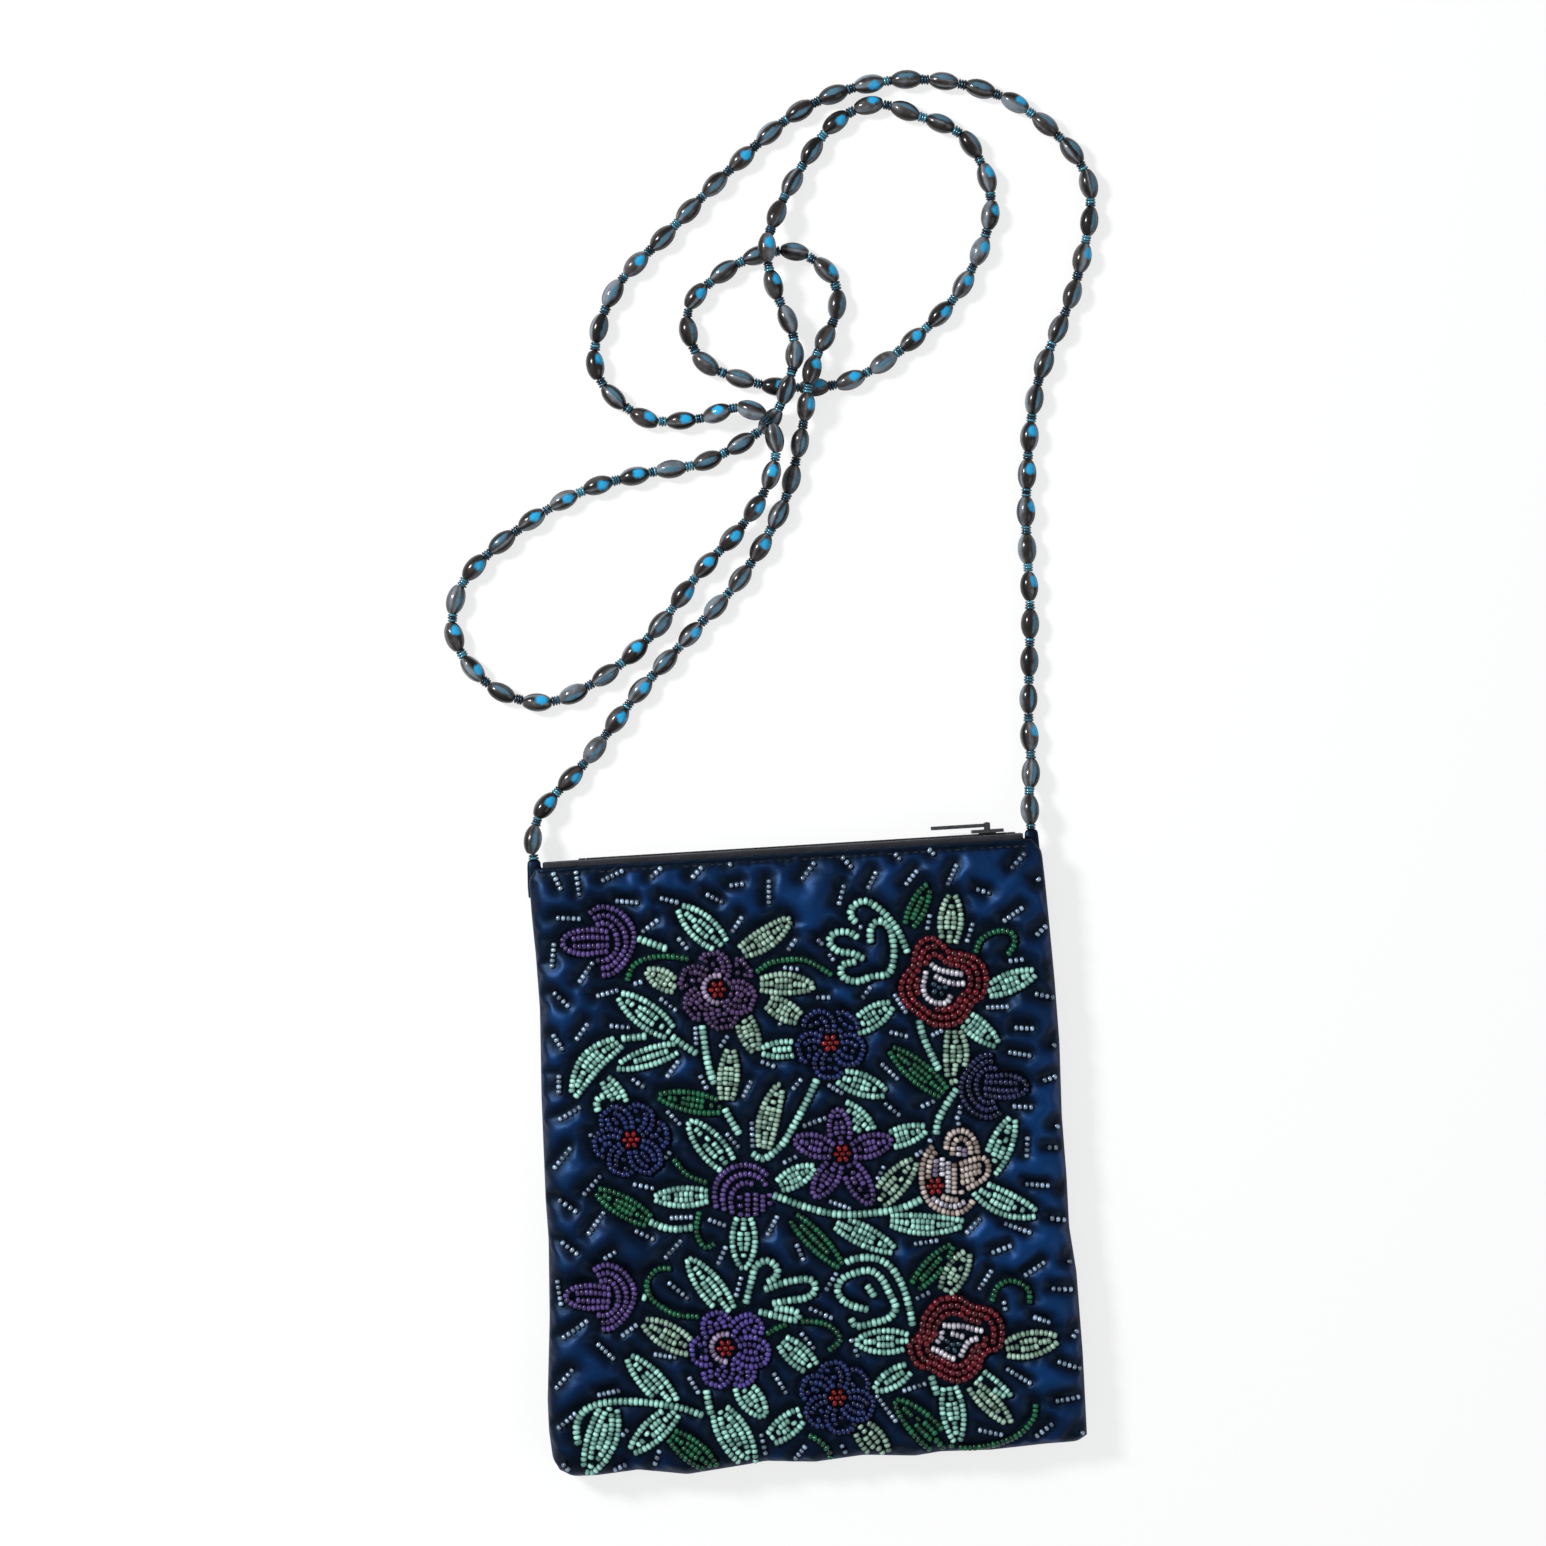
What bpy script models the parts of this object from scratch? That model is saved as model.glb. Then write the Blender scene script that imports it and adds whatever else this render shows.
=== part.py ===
# A satin evening purse with a zip along its mouth, beaded flowers on its front and a long strap of beads.
# It lies on its back. Metres, +Z up out of the front, +Y towards the mouth.
# The origin is under the middle of the bag, on the surface that it lies on.

import bpy
import bmesh
import math
from mathutils import Vector

mm = 0.001

# The bag as a whole
bag_width = 153.0 * mm
bag_length = 180.0 * mm
pocket_depth = 6.6 * mm
fit_gap = 0.3 * mm

# The layers of each panel
satin_thickness = 0.8 * mm
padding_thickness = 1.4 * mm
lining_thickness = 0.5 * mm
rim_width = 7.0 * mm
seam_half_gap = 1.5 * mm
padding_margin = 2.0 * mm
mouth_rim_share = 0.22

# The zip
tooth_depth = 1.4 * mm
tooth_height = 0.9 * mm
tooth_width = 1.2 * mm
tooth_pitch = 2.4 * mm
tooth_cord_height = 0.6 * mm
tape_thickness = 0.5 * mm
tape_flange_width = 5.5 * mm
tape_side_inset = 11.0 * mm
zip_closed_inset = 12.5 * mm
zip_open_inset = 20.5 * mm
stop_length = 2.0 * mm
lip_setback = 1.9 * mm

# The slider and its pull
slider_length = 9.0 * mm
slider_end_gap = 1.0 * mm
plate_thickness = 0.9 * mm
web_thickness = 0.5 * mm
web_length = 5.0 * mm
knuckle_radius = 0.9 * mm
knuckle_width = 2.2 * mm
crossbar_radius = 0.3 * mm
crossbar_clearance = 0.25 * mm
ear_thickness = 0.6 * mm
ear_length = 1.6 * mm
pull_length = 16.0 * mm
pull_width = 4.4 * mm
pull_thickness = 1.0 * mm
ear_top_share = 0.8
cut_overrun = 1.0 * mm

# The gussets, the bottom seam and the strap's roots
gusset_thickness = 0.5 * mm
gusset_edge_inset = 1.0 * mm
gusset_top_depth = 14.0 * mm
gusset_bottom_depth = 3.0 * mm
gusset_top_setback = 8.8 * mm
side_reach_share = 0.9
seam_depth = 5.0 * mm
seam_edge_inset = 1.0 * mm
bottom_reach_share = 0.94
anchor_width = 4.4 * mm
anchor_side_inset = 5.5 * mm
anchor_top_setback = 2.8 * mm

# The beadwork
flower_radius = 10.5 * mm
flower_height = 1.5 * mm
leaf_width = 6.6 * mm
leaf_height = 1.3 * mm
leaf_top_share = 0.8
leaf_gap = 0.9 * mm
worked_leaf_width = 6.0 * mm
stem_radius = 0.6 * mm
row_width = 1.9 * mm
row_top_share = 0.6

# The strap, a string of beads laid in loops above the bag
strap_diameter = 5.0 * mm
strap_bend_length = 8.0 * mm
strap_rings = 78

# Worked out from the sizes above
half_width = bag_width / 2
half_length = bag_length / 2
satin_outer = pocket_depth / 2 + lining_thickness + padding_thickness + satin_thickness + 2 * fit_gap
satin_inner = satin_outer - satin_thickness
padding_outer = satin_inner - fit_gap
padding_inner = padding_outer - padding_thickness
lining_outer = padding_inner - fit_gap
lining_inner = lining_outer - lining_thickness
middle_height = satin_outer

pull_axis_y = half_length - knuckle_radius
plate_outer_y = pull_axis_y - knuckle_radius - fit_gap
plate_inner_y = plate_outer_y - plate_thickness
teeth_outer_y = plate_inner_y - fit_gap
teeth_inner_y = teeth_outer_y - tooth_depth
back_plate_outer_y = teeth_inner_y - fit_gap
back_plate_inner_y = back_plate_outer_y - plate_thickness
lip_y = teeth_outer_y - lip_setback
panel_half_length = (lip_y + half_length) / 2
panel_middle_y = (lip_y - half_length) / 2
gusset_top_y = lip_y - gusset_top_setback
anchor_place_x = half_width - anchor_side_inset
anchor_top_y = half_length - anchor_top_setback

tape_half_length = half_width - tape_side_inset
zip_closed_end = half_width - zip_closed_inset
zip_open_end = zip_open_inset - half_width
slider_place = zip_closed_end - slider_end_gap - slider_length / 2
row_half_gap = web_thickness / 2 + fit_gap
tooth_top = row_half_gap + tooth_height
tooth_cord_top = tooth_top + tooth_cord_height
lip_underside = satin_inner - (satin_inner - seam_half_gap) * mouth_rim_share
tape_top = lip_underside - fit_gap
tape_middle_y = (teeth_outer_y + teeth_inner_y) / 2
tape_flange_y = tape_middle_y + tape_thickness / 2 - tape_flange_width
slider_half_width = tape_top - tape_thickness - 2 * fit_gap
bead_floor = middle_height + satin_outer + fit_gap
worked_root = middle_height + satin_outer - satin_thickness / 2

# The bag's outline, once round against the clock from its lower right corner.
# Each point is a share of the half width, a share of the panel's half length, and how far its rim turns.
outline_shares = [
    (0.997, -0.950, 1.0), (1.000, -0.690, 1.0), (0.995, -0.420, 1.0), (0.978, -0.270, 1.0),
    (0.980, -0.110, 1.0), (0.976, 0.090, 1.0), (0.984, 0.330, 1.0), (0.980, 0.540, 1.0),
    (0.972, 0.720, 0.8), (0.965, 0.860, 0.6), (0.945, 0.945, 0.45), (0.895, 0.985, 0.3),
    (0.800, 1.000, mouth_rim_share), (0.530, 1.000, mouth_rim_share), (0.270, 1.000, mouth_rim_share),
    (0.000, 1.000, mouth_rim_share), (-0.270, 1.000, mouth_rim_share),
    (-0.530, 1.000, mouth_rim_share),
    (-0.800, 1.000, mouth_rim_share), (-0.895, 0.985, 0.3), (-0.945, 0.945, 0.45), (-0.945, 0.840, 0.6),
    (-0.940, 0.720, 0.8), (-0.938, 0.540, 1.0), (-0.952, 0.260, 1.0), (-0.960, -0.080, 1.0),
    (-0.958, -0.210, 1.0), (-0.972, -0.465, 1.0), (-0.998, -0.730, 1.0), (-1.000, -0.830, 1.0),
    (-0.992, -0.920, 1.0), (-0.969, -0.960, 1.0), (-0.919, -0.984, 1.0), (-0.825, -0.985, 1.0),
    (-0.675, -0.975, 1.0), (-0.494, -1.000, 1.0), (-0.270, -0.980, 1.0), (-0.200, -0.972, 1.0),
    (-0.020, -0.985, 1.0), (0.165, -0.972, 1.0), (0.354, -0.985, 1.0), (0.450, -0.976, 1.0),
    (0.635, -0.981, 1.0), (0.834, -0.972, 1.0), (0.960, -0.970, 1.0),
]
rim_steps = 4

# Flowers: name, kind, place as shares of the bag's half width and half length, radius share, turn in degrees.
flower_shares = [
    ("upper_purple_tulip", "tulip", -0.700, 0.702, 0.95, 180),
    ("purple_rosette", "six_petals", -0.275, 0.525, 1.00, 10),
    ("upper_red_flower", "round", 0.560, 0.505, 1.14, 0),
    ("centre_navy_flower", "five_petals", 0.130, 0.340, 0.95, 20),
    ("thistle", "tulip", 0.725, 0.172, 0.90, 350),
    ("left_navy_flower", "five_petals", -0.625, 0.073, 0.95, 50),
    ("purple_star", "star", 0.150, -0.012, 1.25, 90),
    ("purple_bud", "bud", -0.225, -0.113, 0.74, 0),
    ("rose", "six_petals", 0.560, -0.093, 0.95, 30),
    ("lower_purple_tulip", "tulip", -0.770, -0.415, 0.95, 180),
    ("violet_flower", "five_petals", -0.327, -0.597, 1.00, 90),
    ("lower_red_flower", "round", 0.530, -0.620, 1.16, 0),
    ("lower_navy_flower", "five_petals", 0.078, -0.772, 0.95, 20),
]
petal_counts = {"six_petals": 6, "five_petals": 5, "star": 5}
petal_depth_shares = {"six_petals": 0.12, "five_petals": 0.22, "star": 0.38}
tulip_radius_shares = [1.0, 0.86, 0.95, 0.80, 0.58, 0.46, 0.44, 0.46, 0.58, 0.80, 0.95, 0.86]
flower_points = 30

# How a flower rises from its edge to its middle: share of its radius, share of its height.
flower_profile_shares = [(1.00, 0.00), (1.00, 0.55), (0.80, 0.90), (0.36, 0.72), (0.22, 1.00)]

# Leaves: name, colour, base and tip as shares of the bag's half width and half length.
leaf_shares = [
    ("mint_leaf_01", "mint", (-0.250, 0.655), (-0.385, 0.790)),
    ("mint_leaf_02", "mint", (-0.180, 0.645), (0.020, 0.730)),
    ("mint_leaf_03", "mint", (-0.685, 0.385), (-0.830, 0.225)),
    ("mint_leaf_04", "mint", (-0.115, 0.530), (0.080, 0.518)),
    ("mint_leaf_05", "mint", (-0.235, 0.345), (-0.262, 0.175)),
    ("mint_leaf_06", "mint", (-0.145, -0.015), (-0.065, 0.215)),
    ("mint_leaf_07", "mint", (0.720, 0.450), (0.900, 0.525)),
    ("mint_leaf_08", "mint", (0.590, 0.630), (0.630, 0.770)),
    ("mint_leaf_09", "mint", (-0.270, -0.035), (-0.405, 0.115)),
    ("mint_leaf_10", "mint", (-0.335, -0.120), (-0.540, -0.120)),
    ("mint_leaf_11", "mint", (-0.300, -0.490), (-0.430, -0.315)),
    ("mint_leaf_12", "mint", (-0.435, -0.585), (-0.620, -0.515)),
    ("mint_leaf_13", "mint", (0.690, -0.675), (0.900, -0.625)),
    ("mint_leaf_14", "mint", (0.580, -0.760), (0.700, -0.885)),
    ("green_leaf_01", "green", (-0.510, 0.190), (-0.315, 0.162)),
    ("green_leaf_02", "green", (0.330, 0.310), (0.540, 0.170)),
    ("green_leaf_03", "green", (-0.040, -0.215), (0.110, -0.360)),
    ("green_leaf_04", "green", (-0.540, -0.850), (-0.400, -0.960)),
]

# Leaves worked into the panel, with no piece of their own: base and tip as shares of the bag's half width
# and half length.
worked_leaf_shares = [
    ((-0.424, 0.541), (-0.525, 0.597)), ((-0.457, 0.400), (-0.634, 0.527)),
    ((-0.434, 0.352), (-0.655, 0.303)), ((-0.705, 0.260), (-0.637, 0.178)),
    ((-0.089, 0.478), (0.037, 0.411)), ((-0.183, 0.431), (-0.145, 0.324)),
    ((-0.006, 0.327), (-0.126, 0.326)), ((0.641, 0.385), (0.749, 0.300)),
    ((0.593, 0.355), (0.573, 0.200)), ((0.253, 0.391), (0.368, 0.446)),
    ((0.166, 0.228), (0.325, 0.169)), ((0.324, 0.020), (0.466, 0.051)),
    ((0.259, -0.179), (0.418, -0.048)), ((0.697, -0.085), (0.788, 0.066)),
    ((0.673, -0.159), (0.852, -0.239)), ((0.312, -0.238), (0.582, -0.258)),
    ((0.114, -0.236), (0.323, -0.340)), ((-0.228, -0.205), (-0.238, -0.350)),
    ((0.500, -0.465), (0.591, -0.346)), ((0.355, -0.613), (0.165, -0.606)),
    ((0.349, -0.698), (0.221, -0.758)), ((0.493, -0.763), (0.511, -0.920)),
    ((0.154, -0.869), (0.240, -0.930)), ((-0.177, -0.893), (-0.040, -0.811)),
    ((-0.114, -0.588), (0.013, -0.696)), ((-0.280, -0.716), (-0.197, -0.819)),
    ((-0.360, -0.794), (-0.265, -0.925)), ((-0.545, -0.800), (-0.692, -0.904)),
    ((-0.540, -0.740), (-0.682, -0.610)), ((-0.764, -0.785), (-0.845, -0.925)),
    ((0.418, 0.682), (0.514, 0.813)), ((-0.577, -0.187), (-0.764, -0.082)),
    ((0.359, -0.457), (0.521, -0.326)), ((0.465, -0.930), (0.297, -0.800)),
]

# A leaf's half width along its length, from base to tip: share of its length, share of its half width.
leaf_outline_shares = [(0.00, 0.30), (0.20, 0.80), (0.45, 1.00), (0.70, 0.85), (0.88, 0.50), (1.00, 0.12)]

# Stems: name and points as shares of the bag's half width and half length.
stem_shares = [
    ("rosette_stem", [(-0.335, 0.385), (-0.332, 0.325), (-0.300, 0.205), (-0.230, 0.075)]),
    ("centre_stem", [(0.052, 0.219), (0.016, 0.150), (-0.017, 0.073), (-0.112, -0.012)]),
    ("rose_stem", [(-0.085, -0.142), (-0.010, -0.180), (0.064, -0.194), (0.220, -0.219), (0.410, -0.185)]),
    ("corner_stem", [(-0.420, -0.800), (-0.560, -0.765), (-0.690, -0.735), (-0.790, -0.745),
                     (-0.855, -0.790), (-0.865, -0.850)]),
]
stem_steps = 3

# Rows worked into the panel as curls, tendrils and short stems: points as shares of the bag's half width
# and half length.
worked_row_shares = [
    [(0.432, 0.640), (0.391, 0.715), (0.341, 0.755), (0.291, 0.777), (0.249, 0.763), (0.236, 0.736)],
    [(0.260, 0.661), (0.224, 0.682), (0.172, 0.682), (0.151, 0.654), (0.183, 0.624), (0.234, 0.615)],
    [(0.247, 0.589), (0.194, 0.579), (0.192, 0.544), (0.243, 0.526), (0.303, 0.538), (0.364, 0.550),
     (0.386, 0.594), (0.386, 0.652), (0.335, 0.700), (0.307, 0.687), (0.304, 0.643)],
    [(-0.169, -0.424), (-0.078, -0.403), (0.004, -0.401), (0.021, -0.434), (-0.015, -0.457),
     (-0.090, -0.463)],
    [(-0.136, -0.482), (-0.055, -0.499), (-0.057, -0.520), (-0.116, -0.515), (-0.189, -0.495)],
    [(-0.239, -0.464), (-0.211, -0.390), (-0.193, -0.349), (-0.151, -0.333), (-0.116, -0.357)],
    [(0.126, -0.369), (0.154, -0.345), (0.214, -0.339), (0.277, -0.352), (0.326, -0.392), (0.356, -0.445)],
    [(0.213, -0.507), (0.155, -0.491), (0.119, -0.470), (0.103, -0.438), (0.124, -0.404), (0.177, -0.388),
     (0.230, -0.384), (0.269, -0.411), (0.295, -0.460), (0.314, -0.506), (0.286, -0.536), (0.225, -0.549)],
    [(-0.605, 0.570), (-0.579, 0.616), (-0.525, 0.639), (-0.451, 0.641), (-0.400, 0.635)],
    [(-0.080, 0.598), (-0.020, 0.608), (0.040, 0.606), (0.098, 0.584), (0.140, 0.560)],
    [(0.715, 0.625), (0.730, 0.645), (0.775, 0.657), (0.826, 0.648), (0.835, 0.616), (0.807, 0.579)],
    [(-0.474, 0.005), (-0.426, -0.049), (-0.353, -0.078)],
    [(-0.389, -0.185), (-0.405, -0.227), (-0.379, -0.279), (-0.337, -0.269)],
    [(-0.506, -0.339), (-0.558, -0.340), (-0.599, -0.379), (-0.591, -0.424), (-0.552, -0.458),
     (-0.494, -0.480)],
    [(0.675, -0.495), (0.695, -0.459), (0.748, -0.443), (0.806, -0.471), (0.810, -0.519)],
    [(0.545, -0.930), (0.688, -0.930), (0.773, -0.915), (0.813, -0.881), (0.809, -0.833)],
    [(-0.150, -0.550), (-0.080, -0.533), (0.017, -0.535), (0.075, -0.557), (0.102, -0.596), (0.055, -0.629)],
    [(0.474, 0.355), (0.498, 0.290), (0.528, 0.232)],
    [(0.591, 0.171), (0.550, 0.126), (0.513, 0.074), (0.502, 0.030)],
    [(-0.406, -0.710), (-0.399, -0.767), (-0.385, -0.838)],
    [(-0.454, 0.391), (-0.411, 0.360), (-0.375, 0.340)],
    [(-0.558, 0.704), (-0.507, 0.685), (-0.460, 0.668)],
    [(-0.577, -0.187), (-0.527, -0.208), (-0.475, -0.217), (-0.430, -0.214)],
]

# The strap's route from its left root to its right one, in millimetres: across, up the page and the height.
# It climbs only where it lies over itself and where it meets the bag.
strap_route = [
    (-71.0, 87.5, 6.6), (-71.0, 92.5, 6.5), (-68.6, 100.0, 4.6), (-62.8, 106.5, 2.9),
    (-54.4, 114.6, 2.6), (-39.0, 132.5, 2.6), (-22.6, 148.6, 2.6), (-6.8, 164.5, 2.6),
    (5.5, 182.9, 2.6), (10.9, 197.7, 2.6), (14.0, 209.8, 5.6), (15.6, 218.2, 8.2),
    (18.7, 226.6, 5.8), (24.5, 237.7, 2.6), (24.3, 247.7, 2.6), (16.2, 255.3, 2.6),
    (5.7, 256.3, 2.6), (-7.2, 251.3, 2.6), (-17.5, 241.4, 2.6), (-15.0, 227.3, 2.6),
    (-1.1, 219.8, 2.6), (13.0, 217.3, 2.6), (27.3, 218.4, 2.6), (43.6, 227.1, 2.6),
    (60.8, 242.9, 2.6), (70.7, 265.4, 2.6), (65.1, 284.9, 2.6), (50.5, 293.2, 2.6),
    (39.0, 296.8, 2.6), (26.7, 291.5, 2.6), (15.2, 277.1, 3.2), (8.5, 264.9, 6.2),
    (5.9, 256.2, 8.2), (7.3, 246.2, 5.6), (12.1, 230.5, 5.2), (9.6, 217.8, 8.2),
    (2.6, 207.0, 2.8), (-15.0, 197.9, 2.6), (-32.0, 195.5, 2.6), (-50.8, 191.5, 2.6),
    (-69.7, 181.8, 2.6), (-86.3, 167.9, 2.6), (-90.1, 152.2, 2.6), (-80.4, 137.3, 2.6),
    (-65.1, 131.8, 2.6), (-49.0, 137.7, 2.6), (-34.0, 149.0, 2.6), (-19.3, 165.8, 2.6),
    (-7.2, 177.4, 3.6), (0.9, 187.7, 6.2), (5.0, 198.9, 7.6), (2.7, 207.9, 8.6),
    (-5.0, 212.1, 7.4), (-17.4, 210.0, 3.2), (-33.0, 211.8, 2.6), (-45.0, 226.2, 2.6),
    (-38.9, 247.3, 2.6), (-21.9, 263.9, 2.6), (-2.5, 281.3, 2.6), (17.8, 296.3, 2.6),
    (39.9, 303.0, 2.6), (62.4, 301.6, 2.6), (83.2, 292.1, 2.6), (98.8, 271.4, 2.6),
    (93.9, 243.2, 2.6), (80.7, 213.4, 2.6), (75.6, 180.9, 2.6), (74.8, 149.5, 2.6),
    (72.6, 121.1, 2.6), (72.4, 106.0, 3.0), (71.2, 97.5, 5.2), (71.0, 92.5, 6.5), (71.0, 87.5, 6.6),
]
route_steps = 24

bodies = {}
materials = {}


# Materials

def make_material(name, colour, roughness, metallic=0.0):
    material = bpy.data.materials.new(name)
    material.use_nodes = True
    shader = material.node_tree.nodes["Principled BSDF"]
    shader.inputs["Base Color"].default_value = (*colour, 1.0)
    shader.inputs["Roughness"].default_value = roughness
    shader.inputs["Metallic"].default_value = metallic
    materials[name] = material


def make_materials():
    make_material("navy_satin", (0.004, 0.030, 0.120), 0.35)
    make_material("black_satin", (0.006, 0.008, 0.014), 0.50)
    make_material("wadding", (0.600, 0.600, 0.580), 0.95)
    make_material("lining", (0.010, 0.014, 0.030), 0.60)
    make_material("black_tape", (0.008, 0.008, 0.010), 0.80)
    make_material("black_teeth", (0.015, 0.015, 0.018), 0.35)
    make_material("dark_metal", (0.120, 0.120, 0.130), 0.30, 1.0)
    make_material("strap_glass", (0.180, 0.230, 0.240), 0.10)
    make_material("purple_beads", (0.080, 0.045, 0.180), 0.25)
    make_material("red_beads", (0.150, 0.006, 0.020), 0.25)
    make_material("navy_beads", (0.012, 0.030, 0.130), 0.25)
    make_material("cream_beads", (0.550, 0.450, 0.430), 0.30)
    make_material("mint_beads", (0.270, 0.520, 0.440), 0.25)
    make_material("green_beads", (0.005, 0.110, 0.045), 0.25)


# Bodies, each an empty on the axis that its pieces move about

def make_body(name, place, parent=None):
    empty = bpy.data.objects.new(name + "_axis", None)
    bpy.context.collection.objects.link(empty)
    empty.location = place
    if parent:
        empty.parent = bodies[parent]
        empty.location = place - world_place(parent)
    bodies[name] = empty


def world_place(body):
    empty = bodies[body]
    place = Vector(empty.location)
    while empty.parent:
        empty = empty.parent
        place += empty.location
    return place


def add_object(name, data, body, material):
    piece = bpy.data.objects.new(name, data)
    bpy.context.collection.objects.link(piece)
    piece.parent = bodies[body]
    data.materials.append(materials[material])
    return piece


# Shapes

def loft(name, rings, body, material, smooth=False):
    """One closed solid through rings of equally many points, with a flat cap at each end."""
    origin = world_place(body)
    shape = bmesh.new()
    loops = [[shape.verts.new(point - origin) for point in ring] for ring in rings]
    count = len(loops[0])
    for low, high in zip(loops, loops[1:]):
        for i in range(count):
            j = (i + 1) % count
            shape.faces.new((low[i], low[j], high[j], high[i]))
    shape.faces.new(list(reversed(loops[0])))
    shape.faces.new(loops[-1])
    bmesh.ops.recalc_face_normals(shape, faces=shape.faces)
    mesh = bpy.data.meshes.new(name)
    shape.to_mesh(mesh)
    shape.free()
    piece = add_object(name, mesh, body, material)
    if smooth:
        mesh.shade_smooth()
        mesh.set_sharp_from_angle(angle=math.radians(40))
    return piece


def box(name, low, high, body, material):
    corners = [(low[0], low[1]), (high[0], low[1]), (high[0], high[1]), (low[0], high[1])]
    rings = [[Vector((x, y, z)) for x, y in corners] for z in (low[2], high[2])]
    return loft(name, rings, body, material)


def turned_pin(name, centre, axis, radius, length, body, material, sides=16):
    """A round bar about an axis, X, Y or Z, with its middle at centre."""
    rings = []
    for end in (-length / 2, length / 2):
        ring = []
        for i in range(sides):
            angle = 2 * math.pi * i / sides
            across = (radius * math.cos(angle), radius * math.sin(angle))
            if axis == "Z":
                point = Vector((across[0], across[1], end))
            elif axis == "Y":
                point = Vector((across[0], end, across[1]))
            else:
                point = Vector((end, across[0], across[1]))
            ring.append(centre + point)
        rings.append(ring)
    return loft(name, rings, body, material)


def join_with(piece, other, how="UNION"):
    """Joins or cuts piece with other, which stays hidden as a tool."""
    change = piece.modifiers.new(other.name, "BOOLEAN")
    change.operation = how
    change.solver = "EXACT"
    change.object = other
    other.hide_render = True
    other.display_type = "WIRE"


def smooth_path(points, steps):
    """Points along a smooth curve through the given ones."""
    first = 2 * points[0] - points[1]
    last = 2 * points[-1] - points[-2]
    run = [first, *points, last]
    path = []
    for a, b, c, d in zip(run, run[1:], run[2:], run[3:]):
        for step in range(steps):
            t = step / steps
            path.append(
                0.5 * (2 * b + (c - a) * t + (2 * a - 5 * b + 4 * c - d) * t ** 2
                       + (3 * b - a - 3 * c + d) * t ** 3)
            )
    path.append(points[-1])
    return path


def even_points(path, count, bend_length):
    """Points at even steps along a path, closer where it bends. One radian counts as bend_length."""
    lengths = [0.0]
    before = path[1] - path[0]
    for a, b in zip(path, path[1:]):
        lengths.append(lengths[-1] + (b - a).length + before.angle(b - a) * bend_length)
        before = b - a
    picked = []
    place = 0
    for i in range(count):
        target = lengths[-1] * i / (count - 1)
        while place < len(path) - 2 and lengths[place + 1] < target:
            place += 1
        share = (target - lengths[place]) / (lengths[place + 1] - lengths[place])
        picked.append(path[place].lerp(path[place + 1], min(share, 1.0)))
    return picked


def tube(name, points, radius, resolution, body, material):
    origin = world_place(body)
    curve = bpy.data.curves.new(name, "CURVE")
    curve.dimensions = "3D"
    curve.bevel_depth = radius
    curve.bevel_resolution = resolution
    curve.use_fill_caps = True
    spline = curve.splines.new("POLY")
    spline.points.add(len(points) - 1)
    for target, point in zip(spline.points, points):
        target.co = (*(point - origin), 1.0)
    return add_object(name, curve, body, material)


# The cloth panels

def outline_ring(inset, height, side):
    """The outline drawn in by inset, at a height from the middle. side is 1 in front, -1 behind."""
    ring = []
    for x_share, y_share, rim_share in outline_shares:
        x = x_share * (half_width - inset)
        y = panel_middle_y + y_share * (panel_half_length - inset)
        ring.append(Vector((x, y, middle_height + side * height(rim_share))))
    return ring


def satin_panel(name, side, body):
    """A shallow tray: a flat middle, and a rim that turns towards the other panel, less at the mouth."""
    rings = []
    surfaces = [
        (satin_inner, satin_thickness, reversed(range(rim_steps + 1))),
        (satin_outer, 0.0, range(rim_steps + 1)),
    ]
    for top, start, steps in surfaces:
        for step in steps:
            angle = math.pi / 2 * step / rim_steps
            inset = start + rim_width * (1 - math.cos(angle))
            level = seam_half_gap + (top - seam_half_gap) * math.sin(angle)
            rings.append(outline_ring(inset, lambda share: top - (top - level) * share, side))
    return loft(name, rings, body, "navy_satin", smooth=True)


def inner_sheet(name, side, low, high, body, material):
    """A flat sheet of wadding or lining that ends short of the rim and of the zip tape."""
    mouth_y = tape_flange_y - fit_gap
    low_y = -half_length + rim_width + padding_margin
    middle_y = (mouth_y + low_y) / 2
    sheet_half_length = (mouth_y - low_y) / 2
    rings = []
    for level in (low, high):
        ring = []
        for x_share, y_share, rim_share in outline_shares:
            x = x_share * (half_width - rim_width - padding_margin)
            ring.append(Vector((x, middle_y + y_share * sheet_half_length, middle_height + side * level)))
        rings.append(ring)
    return loft(name, rings, body, material)


def side_points(side_sign, low_y, high_y):
    """The bag's edge on one side between two heights on the page, from the bottom to the mouth."""
    edge = []
    for x_share, y_share, rim_share in outline_shares:
        if x_share * side_sign > side_reach_share:
            edge.append(Vector((x_share * half_width, panel_middle_y + y_share * panel_half_length, 0)))
    edge.sort(key=lambda point: point.y)
    inside = [point for point in edge if low_y < point.y < high_y]
    return [edge_at(edge, low_y), *inside, edge_at(edge, high_y)]


def edge_at(edge, y):
    for a, b in zip(edge, edge[1:]):
        if a.y <= y <= b.y:
            return a.lerp(b, (y - a.y) / (b.y - a.y))
    return edge[-1]


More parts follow.
